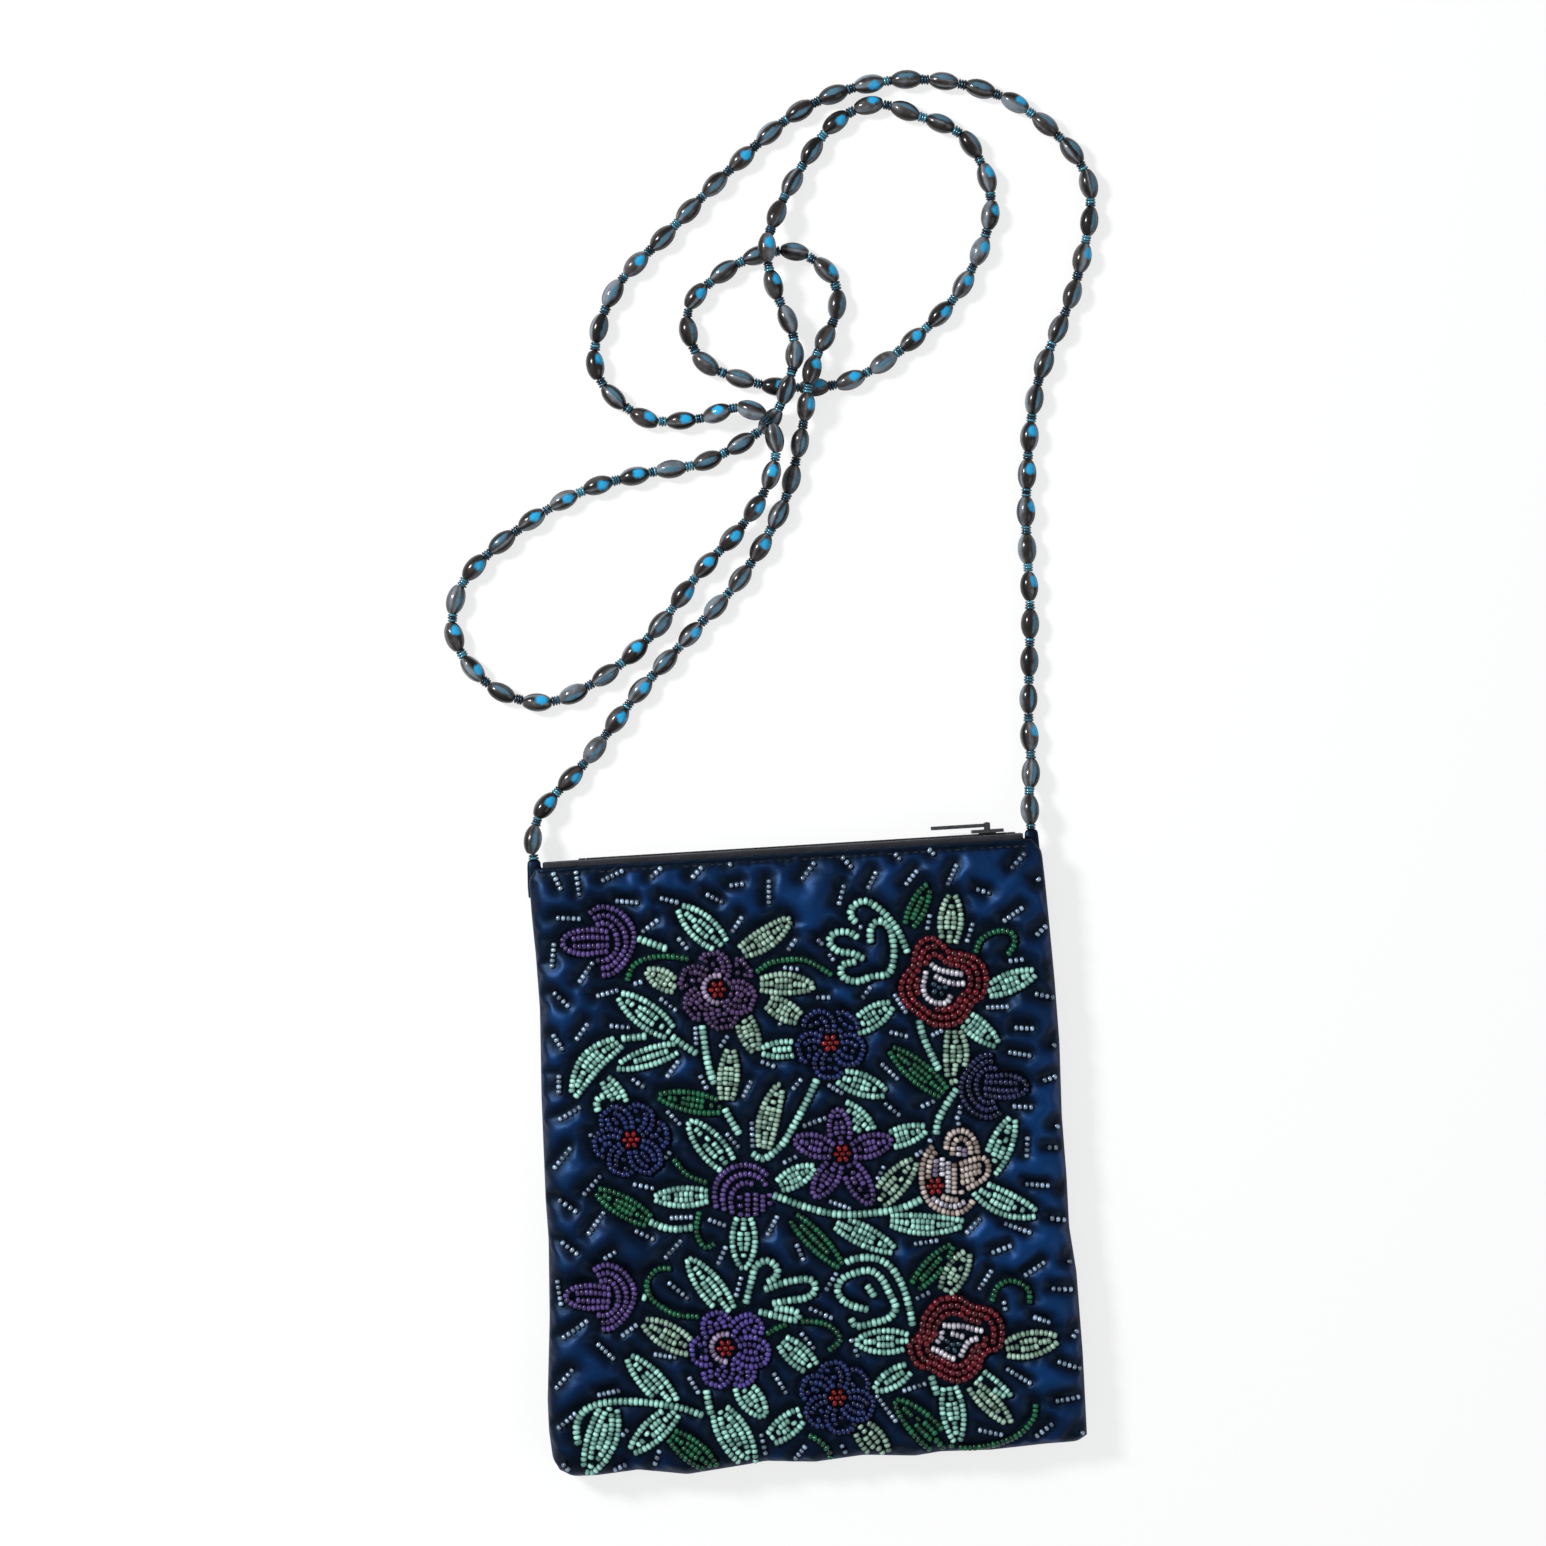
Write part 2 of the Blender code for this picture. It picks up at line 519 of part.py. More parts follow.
def gusset_half(name, side_sign, side, body):
    """Half of a folded gusset: a tapering strip from the seam at the bag's side down to the fold inside."""
    low_y = -half_length + rim_width + seam_depth
    outer_level = seam_half_gap - fit_gap
    fold_level = fit_gap / 2 + gusset_thickness
    rings = []
    for point in side_points(side_sign, low_y, gusset_top_y):
        up = (point.y - low_y) / (gusset_top_y - low_y)
        depth = gusset_bottom_depth + (gusset_top_depth - gusset_bottom_depth) * up
        outer_x = point.x - side_sign * gusset_edge_inset
        inner_x = outer_x - side_sign * depth
        ring = []
        for x, level in (
            (outer_x, outer_level - gusset_thickness), (outer_x, outer_level),
            (inner_x, fold_level), (inner_x, fold_level - gusset_thickness),
        ):
            ring.append(Vector((x, point.y, middle_height + side * level)))
        rings.append(ring)
    return loft(name, rings, body, "black_satin")


def bottom_seam():
    """The folded seam between the panels along the bottom, on which the front turns."""
    edge = []
    for x_share, y_share, rim_share in outline_shares:
        if y_share < -bottom_reach_share:
            x = x_share * (half_width - seam_edge_inset)
            edge.append((x, panel_middle_y + y_share * (panel_half_length - seam_edge_inset)))
    edge.sort()
    inner_edge = [(x, y + seam_depth) for x, y in reversed(edge)]
    outline = [*edge, *inner_edge]
    half_height = seam_half_gap - fit_gap
    rings = []
    for level in (-half_height, half_height):
        rings.append([Vector((x, y, middle_height + level)) for x, y in outline])
    return loft("bottom_seam", rings, "back", "black_satin")


# The zip

def zip_tape(name, side, body):
    """A tape that stands up from the teeth to the panel's lip and turns in under it."""
    back_y = tape_middle_y - tape_thickness / 2
    front_y = tape_middle_y + tape_thickness / 2
    low = tooth_cord_top + fit_gap
    section = [
        (back_y, low), (front_y, low), (front_y, tape_top), (tape_flange_y, tape_top),
        (tape_flange_y, tape_top - tape_thickness), (back_y, tape_top - tape_thickness),
    ]
    rings = []
    for x in (-tape_half_length, tape_half_length):
        rings.append([Vector((x, y, middle_height + side * level)) for y, level in section])
    return loft(name, rings, body, "black_tape")


def zip_teeth(name, side, body):
    """A row of teeth on their cord, as one comb."""
    count = int((zip_closed_end - zip_open_end) / tooth_pitch)
    comb = [(zip_open_end, tooth_cord_top), (zip_open_end, tooth_top)]
    for i in range(count):
        start = zip_open_end + (zip_closed_end - zip_open_end) * (i + 0.5) / count - tooth_width / 2
        comb += [
            (start, tooth_top), (start, row_half_gap),
            (start + tooth_width, row_half_gap), (start + tooth_width, tooth_top),
        ]
    comb += [(zip_closed_end, tooth_top), (zip_closed_end, tooth_cord_top)]
    rings = []
    for y in (teeth_inner_y, teeth_outer_y):
        rings.append([Vector((x, y, middle_height + side * level)) for x, level in comb])
    return loft(name, rings, body, "black_teeth")


def zip_stop(name, start, side, body):
    low = middle_height + side * row_half_gap
    high = middle_height + side * tooth_cord_top
    return box(
        name,
        (start, teeth_inner_y, min(low, high)),
        (start + stop_length, teeth_outer_y, max(low, high)),
        body, "dark_metal",
    )


def zip_slider():
    """Two plates either side of the teeth, a web that runs between the rows, and ears with a crossbar."""
    start = slider_place - slider_length / 2
    end = slider_place + slider_length / 2
    low = middle_height - slider_half_width
    high = middle_height + slider_half_width
    slider = box(
        "zip_slider", (start, plate_inner_y, low), (end, plate_outer_y, high),
        "slider", "dark_metal",
    )
    inner = box(
        "slider_inner_plate", (start, back_plate_inner_y, low), (end, back_plate_outer_y, high),
        "slider", "dark_metal",
    )
    half_plate = plate_thickness / 2
    web = box(
        "slider_web",
        (slider_place - web_length / 2, back_plate_outer_y - half_plate, middle_height - web_thickness / 2),
        (slider_place + web_length / 2, plate_inner_y + half_plate, middle_height + web_thickness / 2),
        "slider", "dark_metal",
    )
    join_with(slider, web)
    join_with(slider, inner)
    ear_start = knuckle_width / 2 + fit_gap
    for number, sign in enumerate((-1, 1)):
        near = middle_height + sign * ear_start
        far = near + sign * ear_thickness
        ear = box(
            f"slider_ear_{number}",
            (slider_place - ear_length / 2, plate_outer_y - half_plate, min(near, far)),
            (slider_place + ear_length / 2, pull_axis_y + knuckle_radius * ear_top_share, max(near, far)),
            "slider", "dark_metal",
        )
        join_with(slider, ear)
    crossbar = turned_pin(
        "slider_crossbar", Vector((slider_place, pull_axis_y, middle_height)), "Z",
        crossbar_radius, knuckle_width + 2 * fit_gap + ear_thickness, "slider", "dark_metal",
    )
    join_with(slider, crossbar)


def zip_pull():
    """A flat tab that lies back along the closed zip, with a knuckle that turns on the slider's crossbar."""
    axis = Vector((slider_place, pull_axis_y, middle_height))
    pull = turned_pin("zip_pull", axis, "Z", knuckle_radius, knuckle_width, "pull", "dark_metal", sides=24)
    neck_end = axis.x - knuckle_radius - fit_gap - ear_length / 2
    half_thickness = pull_thickness / 2
    neck = box(
        "pull_neck",
        (neck_end - pull_thickness, axis.y - half_thickness, axis.z - knuckle_width / 2),
        (axis.x - crossbar_radius, axis.y + half_thickness, axis.z + knuckle_width / 2),
        "pull", "dark_metal",
    )
    end_x = axis.x - pull_length
    half_tab = pull_width / 2
    shoulder = half_tab / 2
    tab_outline = [
        (neck_end, -half_tab), (neck_end, half_tab),
        (end_x + shoulder, half_tab), (end_x, shoulder), (end_x, -shoulder), (end_x + shoulder, -half_tab),
    ]
    rings = []
    for y in (axis.y - half_thickness, axis.y + half_thickness):
        rings.append([Vector((x, y, axis.z + level)) for x, level in tab_outline])
    tab = loft("pull_tab", rings, "pull", "dark_metal")
    hole = turned_pin(
        "pull_hole", axis, "Z", crossbar_radius + crossbar_clearance,
        knuckle_width + 2 * cut_overrun, "pull", "dark_metal",
    )
    join_with(pull, neck)
    join_with(pull, tab)
    join_with(pull, hole, "DIFFERENCE")


# The beadwork, as low solids that lie on the front panel

def bag_point(x_share, y_share, z):
    return Vector((x_share * half_width, y_share * half_length, z))


def flower_reach(kind, angle):
    """A flower's radius as a share of its largest, at an angle from its turn."""
    if kind == "tulip":
        place = angle / (2 * math.pi) * len(tulip_radius_shares)
        index = int(place)
        a = tulip_radius_shares[index % len(tulip_radius_shares)]
        b = tulip_radius_shares[(index + 1) % len(tulip_radius_shares)]
        return a + (b - a) * (place - index)
    if kind in petal_counts:
        depth = petal_depth_shares[kind]
        return 1 - depth * (1 - abs(math.cos(petal_counts[kind] * angle / 2)))
    return 1.0


def flower(name, kind, x_share, y_share, radius_share, turn, material):
    centre = bag_point(x_share, y_share, bead_floor)
    rings = []
    for reach_share, height_share in flower_profile_shares:
        ring = []
        for i in range(flower_points):
            angle = 2 * math.pi * i / flower_points
            reach = flower_radius * radius_share * reach_share * flower_reach(kind, angle)
            heading = angle + math.radians(turn)
            place = Vector((math.cos(heading), math.sin(heading), 0)) * reach
            ring.append(centre + place + Vector((0, 0, flower_height * height_share)))
        rings.append(ring)
    return loft(name, rings, "front", material, smooth=True)


def clear_of_flowers(base, tip):
    """Moves a leaf's base along the leaf until it is outside every flower."""
    heading = (tip - base).normalized()
    for name, kind, x_share, y_share, radius_share, turn in flower_shares:
        centre = bag_point(x_share, y_share, bead_floor)
        room = flower_radius * radius_share + leaf_gap
        along = (centre - base).dot(heading)
        beside = (base + heading * along - centre).length
        if beside < room and (base - centre).length < room:
            base = base + heading * (along + math.sqrt(room ** 2 - beside ** 2))
    return base


def leaf(name, base_share, tip_share, floor, width, material):
    tip = bag_point(*tip_share, bead_floor)
    base = clear_of_flowers(bag_point(*base_share, bead_floor), tip)
    along = tip - base
    across = Vector((-along.y, along.x, 0)).normalized() * width / 2
    right = [base + along * place - across * share for place, share in leaf_outline_shares]
    left = [base + along * place + across * share for place, share in reversed(leaf_outline_shares)]
    outline = right + left
    middle = (base + tip) / 2
    low = [Vector((point.x, point.y, floor)) for point in outline]
    top = [middle + (point - middle) * leaf_top_share + Vector((0, 0, leaf_height)) for point in outline]
    return loft(name, [low, top], "front", material)


def row_of_beads(name, shares, floor, material):
    """A row of beads along a curve, as one low ridge."""
    path = smooth_path([bag_point(*share, floor) for share in shares], stem_steps)
    rise = Vector((0, 0, bead_floor + leaf_height - floor))
    rings = []
    for number, point in enumerate(path):
        ahead = path[min(number + 1, len(path) - 1)] - path[max(number - 1, 0)]
        across = Vector((-ahead.y, ahead.x, 0)).normalized() * row_width / 2
        top = across * row_top_share
        rings.append([point - across, point + across, point + top + rise, point - top + rise])
    return loft(name, rings, "front", material)


def work_into(panel):
    """Joins the leaves, curls and tendrils that have no piece of their own to the front panel."""
    for number, (base_share, tip_share) in enumerate(worked_leaf_shares):
        name = f"worked_leaf_{number}"
        join_with(panel, leaf(name, base_share, tip_share, worked_root, worked_leaf_width, "mint_beads"))
    for number, shares in enumerate(worked_row_shares):
        join_with(panel, row_of_beads(f"worked_row_{number}", shares, worked_root, "mint_beads"))


def stem(name, shares):
    points = [bag_point(*share, bead_floor + stem_radius) for share in shares]
    return tube(name, smooth_path(points, stem_steps), stem_radius, 2, "front", "mint_beads")


def make_beadwork():
    colours = {
        "upper_purple_tulip": "purple_beads", "purple_rosette": "purple_beads", "purple_star": "purple_beads",
        "purple_bud": "purple_beads", "lower_purple_tulip": "purple_beads", "violet_flower": "purple_beads",
        "upper_red_flower": "red_beads", "lower_red_flower": "red_beads", "rose": "cream_beads",
    }
    for name, kind, x_share, y_share, radius_share, turn in flower_shares:
        flower(name, kind, x_share, y_share, radius_share, turn, colours.get(name, "navy_beads"))
    for name, colour, base_share, tip_share in leaf_shares:
        leaf(name, base_share, tip_share, bead_floor, leaf_width, colour + "_beads")
    for name, shares in stem_shares:
        stem(name, shares)


# The strap and its roots

def strap_anchor(name, sign):
    """A folded tab of satin, sewn in above the gusset, that holds the end of the strap."""
    half = anchor_width / 2
    x = sign * anchor_place_x
    half_height = seam_half_gap - fit_gap
    return box(
        name,
        (x - half, gusset_top_y + fit_gap, middle_height - half_height),
        (x + half, anchor_top_y, middle_height + half_height),
        "back", "black_satin",
    )


def strap_points():
    """The strap's route, moved up the page with the mouth, with its ends over the anchors."""
    lift = Vector((0, anchor_top_y + fit_gap - strap_route[0][1] * mm, 0))
    points = [Vector(point) * mm + lift for point in strap_route]
    for root, lead, sign in ((0, 1, -1), (-1, -2, 1)):
        step = Vector((sign * anchor_place_x, points[root].y, middle_height)) - points[root]
        points[root] += step
        points[lead] += step
    return points


def strap():
    path = smooth_path(strap_points(), route_steps)
    lead = Vector((0, strap_diameter, 0))
    rings = even_points(path, strap_rings, strap_bend_length)
    rings = [rings[0], rings[0] + lead, *rings[1:-1], rings[-1] + lead, rings[-1]]
    return tube("strap", rings, strap_diameter / 2, 3, "back", "strap_glass")


def make_back():
    satin_panel("back_satin", -1, "back")
    inner_sheet("back_padding", -1, padding_inner, padding_outer, "back", "wadding")
    inner_sheet("back_lining", -1, lining_inner, lining_outer, "back", "lining")
    bottom_seam()
    zip_tape("back_zip_tape", -1, "back")
    zip_teeth("back_zip_teeth", -1, "back")
    zip_stop("back_top_stop", zip_closed_end + fit_gap, -1, "back")
    zip_stop("bottom_stop", zip_open_end - fit_gap - stop_length, -1, "back")
    gusset_half("left_gusset_back", -1, -1, "back")
    gusset_half("right_gusset_back", 1, -1, "back")
    strap_anchor("left_strap_anchor", -1)
    strap_anchor("right_strap_anchor", 1)
    strap()


def make_front():
    work_into(satin_panel("front_satin", 1, "front"))
    inner_sheet("front_padding", 1, padding_inner, padding_outer, "front", "wadding")
    inner_sheet("front_lining", 1, lining_inner, lining_outer, "front", "lining")
    zip_tape("front_zip_tape", 1, "front")
    zip_teeth("front_zip_teeth", 1, "front")
    zip_stop("front_top_stop", zip_closed_end + fit_gap, 1, "front")
    gusset_half("left_gusset_front", -1, 1, "front")
    gusset_half("right_gusset_front", 1, 1, "front")
    make_beadwork()


def make_purse():
    for old in list(bpy.data.objects):
        bpy.data.objects.remove(old, do_unlink=True)
    make_materials()
    make_body("back", Vector((0, 0, 0)))
    make_body("front", Vector((0, -half_length, middle_height + seam_half_gap)), "back")
    make_body("slider", Vector((slider_place, teeth_outer_y, middle_height)), "back")
    make_body("pull", Vector((slider_place, pull_axis_y, middle_height)), "slider")
    make_back()
    make_front()
    zip_slider()
    zip_pull()


make_purse()
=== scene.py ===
# The looks of a beaded satin evening purse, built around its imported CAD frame.
# Metres, in the frame's own axes: the purse lies on its back, +Z out of its front, +Y towards its mouth.

import bmesh
import bpy
import math
import numpy as np
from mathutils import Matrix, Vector


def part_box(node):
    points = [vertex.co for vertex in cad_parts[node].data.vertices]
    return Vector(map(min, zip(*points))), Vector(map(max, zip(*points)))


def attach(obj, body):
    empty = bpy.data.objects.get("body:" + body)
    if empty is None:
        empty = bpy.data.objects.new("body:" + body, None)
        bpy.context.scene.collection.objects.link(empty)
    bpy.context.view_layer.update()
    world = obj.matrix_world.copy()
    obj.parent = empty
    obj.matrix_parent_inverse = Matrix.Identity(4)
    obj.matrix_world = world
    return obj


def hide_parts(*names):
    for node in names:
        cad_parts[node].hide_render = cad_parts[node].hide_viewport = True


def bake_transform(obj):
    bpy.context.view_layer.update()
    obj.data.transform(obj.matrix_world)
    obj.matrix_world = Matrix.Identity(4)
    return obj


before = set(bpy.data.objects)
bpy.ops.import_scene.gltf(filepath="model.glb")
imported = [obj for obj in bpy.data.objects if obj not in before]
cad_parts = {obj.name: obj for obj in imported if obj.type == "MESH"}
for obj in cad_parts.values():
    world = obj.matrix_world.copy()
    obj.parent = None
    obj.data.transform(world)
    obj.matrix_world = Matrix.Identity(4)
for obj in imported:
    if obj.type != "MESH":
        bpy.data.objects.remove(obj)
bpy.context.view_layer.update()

mm = 0.001
tiny = 1e-9
random_seed = 7
random = np.random.RandomState(random_seed)

# Heights and sides, read from the frame
front_low, front_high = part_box("front_satin")
back_low, back_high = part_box("back_satin")
middle_height = (front_low.z + back_high.z) / 2
satin_outer = middle_height - back_low.z
seam_half_gap = front_low.z - middle_height
half_width = front_high.x
panel_middle_y = (front_high.y + front_low.y) / 2
panel_half_length = (front_high.y - front_low.y) / 2
rim_width = 7.0 * mm
mouth_rim_share = 0.22

# How the photograph lies over the purse
photo_origin_pixels = (801.25, 1152.5)
photo_middle_pixels = (773.0, 773.0)
photo_width_pixels = 1546.0
pixel_size = 0.285 * mm
photo_turn = math.radians(3.5)
photo_drop = 0.8 * mm
camera_height = 1.0
sensor_width_mm = 36.0
clip_near = 0.01
clip_far = 20.0

# The floor, the lamps and the world
floor_reach = 4.0
floor_colour = (0.86, 0.86, 0.86, 1)
floor_glow_share = 0.75
floor_roughness = 0.9
lamp_target = (0.0, 0.08, 0.0)
key_lamp = {"place": (-0.75, 0.60, 0.80), "size": 0.25, "power": 18.0}
fill_lamp = {"place": (0.9, -0.5, 0.9), "size": 0.9, "power": 3.0}
world_colour = (0.92, 0.96, 1.0, 1)
world_strength = 0.40

# Seed beads
seed_radius = 1.00 * mm
seed_length = 1.27 * mm
hole_share = 0.34
bead_sides = 10
seat_share = 0.92
seed_pitch = 1.33 * mm
row_pitch = 2.05 * mm
small_seed_radius = 0.84 * mm
small_seed_length = 1.15 * mm
small_seed_pitch = 1.50 * mm
wide_seed_radius = 1.22 * mm
wide_seed_length = 1.38 * mm
wide_seed_pitch = 1.45 * mm
round_seed_radius = 1.08 * mm
round_seed_length = 1.78 * mm
round_seed_pitch = 1.85 * mm
least_bead_gap = 1.20 * mm
least_row_gap = 1.42 * mm
cluster_reach = 1.75 * mm
rim_clearance = 1.9 * mm
cell_size = 2.0 * mm
curve_steps = 8
heading_spread = 0.09
bead_size_spread = 0.035
slope_reach = 0.25 * mm
eye_beads = 7
petal_base_share = 0.20
red_ring_shares = (1.0, 0.82, 0.64)
red_eye_beads = 6
red_patch_beads = 4
red_patch_pixels = (18, 10)

# A leaf or petal, filled with rows: how its width goes along it, where on a half sine that starts, how much
# of it that covers, and a power that makes it fuller
leaf_shape_shares = (0.12, 0.85, 0.62)
petal_shape_shares = (0.10, 0.82, 0.55)
leaf_steps = 61
leaf_fullness = 1.1
row_rounding_share = 0.15
least_loop_share = 0.40
least_core_share = 0.80
least_core_steps = 4

bead_sizes = {
    "seed": (seed_radius, seed_length, seed_pitch),
    "small": (small_seed_radius, small_seed_length, small_seed_pitch),
    "wide": (wide_seed_radius, wide_seed_length, wide_seed_pitch),
    "round": (round_seed_radius, round_seed_length, round_seed_pitch),
}

# How far from a bead its satin stays drawn down, and darkened by painted shade
large_reach = 5.6 * mm
small_reach = 3.9 * mm
stitch_reach = 1.5 * mm
satin_reaches = {"seed": large_reach, "wide": large_reach, "round": large_reach, "small": small_reach}

# How the quilted satin rises between the beads
stitch_dip = 0.45 * mm
puff_height = 1.3 * mm
# The creases by the beads, and the painted shade in them, are shifted up and to the left of each bead
crease_and_shade_shift = (-0.9 * mm, 0.8 * mm)
# How wide the painted shade along the front's rim is, and how wide it is down its left side
shaded_rim_width = 1.5 * mm
shaded_side_width = 4.5 * mm
bead_foot = 0.7 * mm
satin_grid = 1.15 * mm
rim_steps = 7
last_place_share = 0.99999
satin_thickness = 0.5 * mm
full_height_rims = 1.2
puff_power = 1.2
# How far left the wider painted shade down the left side begins, and how much colour the rim keeps under the
# painted shade
shaded_side_share = 0.8
least_shade_share = 0.20
sorting_parts = 40
flower_lift = 0.3 * mm
leaf_lift = 0.1 * mm

# How the front satin settles as cloth, enlarged, because small cloth is stiff in Blender
cloth_scale = 20.0
cloth_frames = 16
cloth_pressure = 1.5
cloth_growth_share = 0.05
cloth_quality = 4
cloth_mass = 0.15
cloth_stretch_stiffness = 12
cloth_shear_stiffness = 4
cloth_bending_stiffness = 0.25
bead_pin_reach = 0.85 * mm
rim_pin_reach = 0.3 * mm
most_moved = 1.6 * mm

# The slack waves of the back satin, and the painted shade that darkens their troughs
back_wave_height = 0.25 * mm
back_wave_width = 9.0 * mm
back_wave_length = 13.0 * mm
back_wave_turn = 1.7
back_shade_level = 0.45
back_wave_shade_span = 0.2

# The hem at the mouth and the stitches below it
hem_radius = 0.7 * mm
hem_drop = 0.2 * mm
stitch_line_drop = 2.1 * mm
stitch_length = 1.5 * mm
stitch_pitch = 2.4 * mm
stitch_radius = 0.16 * mm
stitch_lift_share = 0.8
stitch_sides = 8
stitch_shape_shares = [(-1 / 2, 1 / 4), (-1 / 3, 1), (1 / 3, 1), (1 / 2, 1 / 4)]
hem_points = 90
hem_swell = 0.10
hem_swell_turn = 1.7
hem_section_power = 0.9
hem_rise = 0.5
hem_sides = 12
stitch_line_points = 200
mouth_end_share = 0.004

# Soft parts inside
cloth_thickness = 0.45 * mm
fold_gap = 0.05 * mm
padding_inset = 2.5 * mm
tape_bend = 0.9 * mm
tape_overhang = 2.8 * mm
seam_depth = 5.0 * mm
seam_inset = 1.0 * mm
seam_path_steps = 4
seam_end_taper = 0.7
seam_swell = 0.04
seam_swell_turn = 2.1
seam_section_power = 0.5
seam_sides = 16
seam_rise = 0.6
gusset_inset = 1.0 * mm
gusset_low_depth = 3.0 * mm
gusset_high_depth = 14.0 * mm
gusset_points = 70
gusset_wave = 0.5 * mm
gusset_wave_length = 7.0 * mm
gusset_bow = 0.12 * mm
gusset_bow_length = 5.0 * mm
gusset_rise = 0.55
tab_section_power = 0.6
tab_sides = 14
tab_rise = 0.6
tape_points = 60
tape_bend_steps = 6
tape_rise_share = 0.35
tape_ripple = 0.03 * mm
tape_ripple_length = 2.6 * mm
sheet_columns = 46
sheet_rows = 54
sheet_wave = 0.12 * mm
sheet_wave_width = 8.0 * mm
sheet_wave_length = 9.0 * mm
sheet_clearance = 0.1 * mm
corner_rounding_share = 0.035
corner_power = 4

# The bag's outline, once round against the clock from its lower right corner.
# Each point is a share of the half width, a share of the panel's half length, and how far its rim turns.
outline_shares = [
    (0.997, -0.950, 1.0), (1.000, -0.690, 1.0), (0.995, -0.420, 1.0), (0.978, -0.270, 1.0),
    (0.980, -0.110, 1.0), (0.976, 0.090, 1.0), (0.984, 0.330, 1.0), (0.980, 0.540, 1.0),
    (0.972, 0.720, 0.8), (0.965, 0.860, 0.6), (0.958, 0.960, 0.45), (0.920, 0.998, 0.3),
    (0.800, 1.000, mouth_rim_share), (0.530, 1.000, mouth_rim_share), (0.270, 1.000, mouth_rim_share),
    (0.000, 1.000, mouth_rim_share), (-0.270, 1.000, mouth_rim_share),
    (-0.530, 1.000, mouth_rim_share),
    (-0.800, 1.000, mouth_rim_share), (-0.918, 0.998, 0.3), (-0.947, 0.960, 0.45), (-0.945, 0.840, 0.6),
    (-0.940, 0.720, 0.8), (-0.938, 0.540, 1.0), (-0.952, 0.260, 1.0), (-0.960, -0.080, 1.0),
    (-0.958, -0.210, 1.0), (-0.972, -0.465, 1.0), (-0.998, -0.730, 1.0), (-1.000, -0.830, 1.0),
    (-0.992, -0.920, 1.0), (-0.969, -0.960, 1.0), (-0.919, -0.984, 1.0), (-0.825, -0.985, 1.0),
    (-0.675, -0.975, 1.0), (-0.494, -1.000, 1.0), (-0.270, -0.980, 1.0), (-0.200, -0.972, 1.0),
    (-0.020, -0.985, 1.0), (0.165, -0.972, 1.0), (0.354, -0.985, 1.0), (0.450, -0.976, 1.0),
    (0.635, -0.981, 1.0), (0.834, -0.972, 1.0), (0.960, -0.970, 1.0),
]
right_side = range(0, 12)
mouth_side = range(19, 10, -1)
left_side = range(31, 18, -1)
bottom_side = [*range(31, 45), 0]

# The strap's route from its left root to its right one, in millimetres: across, up the page and the height.
strap_route = [
    (-71.0, 87.5, 6.6), (-71.0, 92.5, 6.5), (-68.6, 100.0, 4.6), (-62.8, 106.5, 2.9),
    (-54.4, 114.6, 2.6), (-39.0, 132.5, 2.6), (-22.6, 148.6, 2.6), (-6.8, 164.5, 2.6),
    (5.5, 182.9, 2.6), (10.9, 197.7, 2.6), (14.0, 209.8, 5.6), (15.6, 218.2, 8.2),
    (18.7, 226.6, 5.8), (24.5, 237.7, 2.6), (24.3, 247.7, 2.6), (16.2, 255.3, 2.6),
    (5.7, 256.3, 2.6), (-7.2, 251.3, 2.6), (-17.5, 241.4, 2.6), (-15.0, 227.3, 2.6),
    (-1.1, 219.8, 2.6), (13.0, 217.3, 2.6), (27.3, 218.4, 2.6), (43.6, 227.1, 2.6),
    (60.8, 242.9, 2.6), (70.7, 265.4, 2.6), (65.1, 284.9, 2.6), (50.5, 293.2, 2.6),
    (39.0, 296.8, 2.6), (26.7, 291.5, 2.6), (15.2, 277.1, 3.2), (8.5, 264.9, 6.2),
    (5.9, 256.2, 8.2), (7.3, 246.2, 5.6), (12.1, 230.5, 5.2), (9.6, 217.8, 8.2),
    (2.6, 207.0, 2.8), (-15.0, 197.9, 2.6), (-32.0, 195.5, 2.6), (-50.8, 191.5, 2.6),
    (-69.7, 181.8, 2.6), (-86.3, 167.9, 2.6), (-90.1, 152.2, 2.6), (-80.4, 137.3, 2.6),
    (-65.1, 131.8, 2.6), (-49.0, 137.7, 2.6), (-34.0, 149.0, 2.6), (-19.3, 165.8, 2.6),
    (-7.2, 177.4, 3.6), (0.9, 187.7, 6.2), (5.0, 198.9, 7.6), (2.7, 207.9, 8.6),
    (-5.0, 212.1, 7.4), (-17.4, 210.0, 3.2), (-33.0, 211.8, 2.6), (-45.0, 226.2, 2.6),
    (-38.9, 247.3, 2.6), (-21.9, 263.9, 2.6), (-2.5, 281.3, 2.6), (17.8, 296.3, 2.6),
    (39.9, 303.0, 2.6), (62.4, 301.6, 2.6), (83.2, 292.1, 2.6), (98.8, 271.4, 2.6),
    (93.9, 243.2, 2.6), (80.7, 213.4, 2.6), (75.6, 180.9, 2.6), (74.8, 149.5, 2.6),
    (72.6, 121.1, 2.6), (72.4, 106.0, 3.0), (71.2, 97.5, 5.2), (71.0, 92.5, 6.5), (71.0, 87.5, 6.6),
]
route_steps = 12
glass_bead_length = 8.4 * mm
glass_bead_radius = 2.65 * mm
strap_seed_radius = 1.50 * mm
strap_seed_length = 0.77 * mm
strap_seed_sides = 12
strap_repeat = 10.7 * mm
glass_sides = 16
thread_radius = 0.3 * mm
seeds_between = 3
ink_share = 0.55
glass_size_spread = 0.05
strap_seed_size_spread = 0.16

# The painted glint on a strap bead, a painted highlight toward its upper right: an oval to one side on some,
# a long streak on the rest.
# Lengths and places along the bead are shares of half its length.
oval_share = 0.4
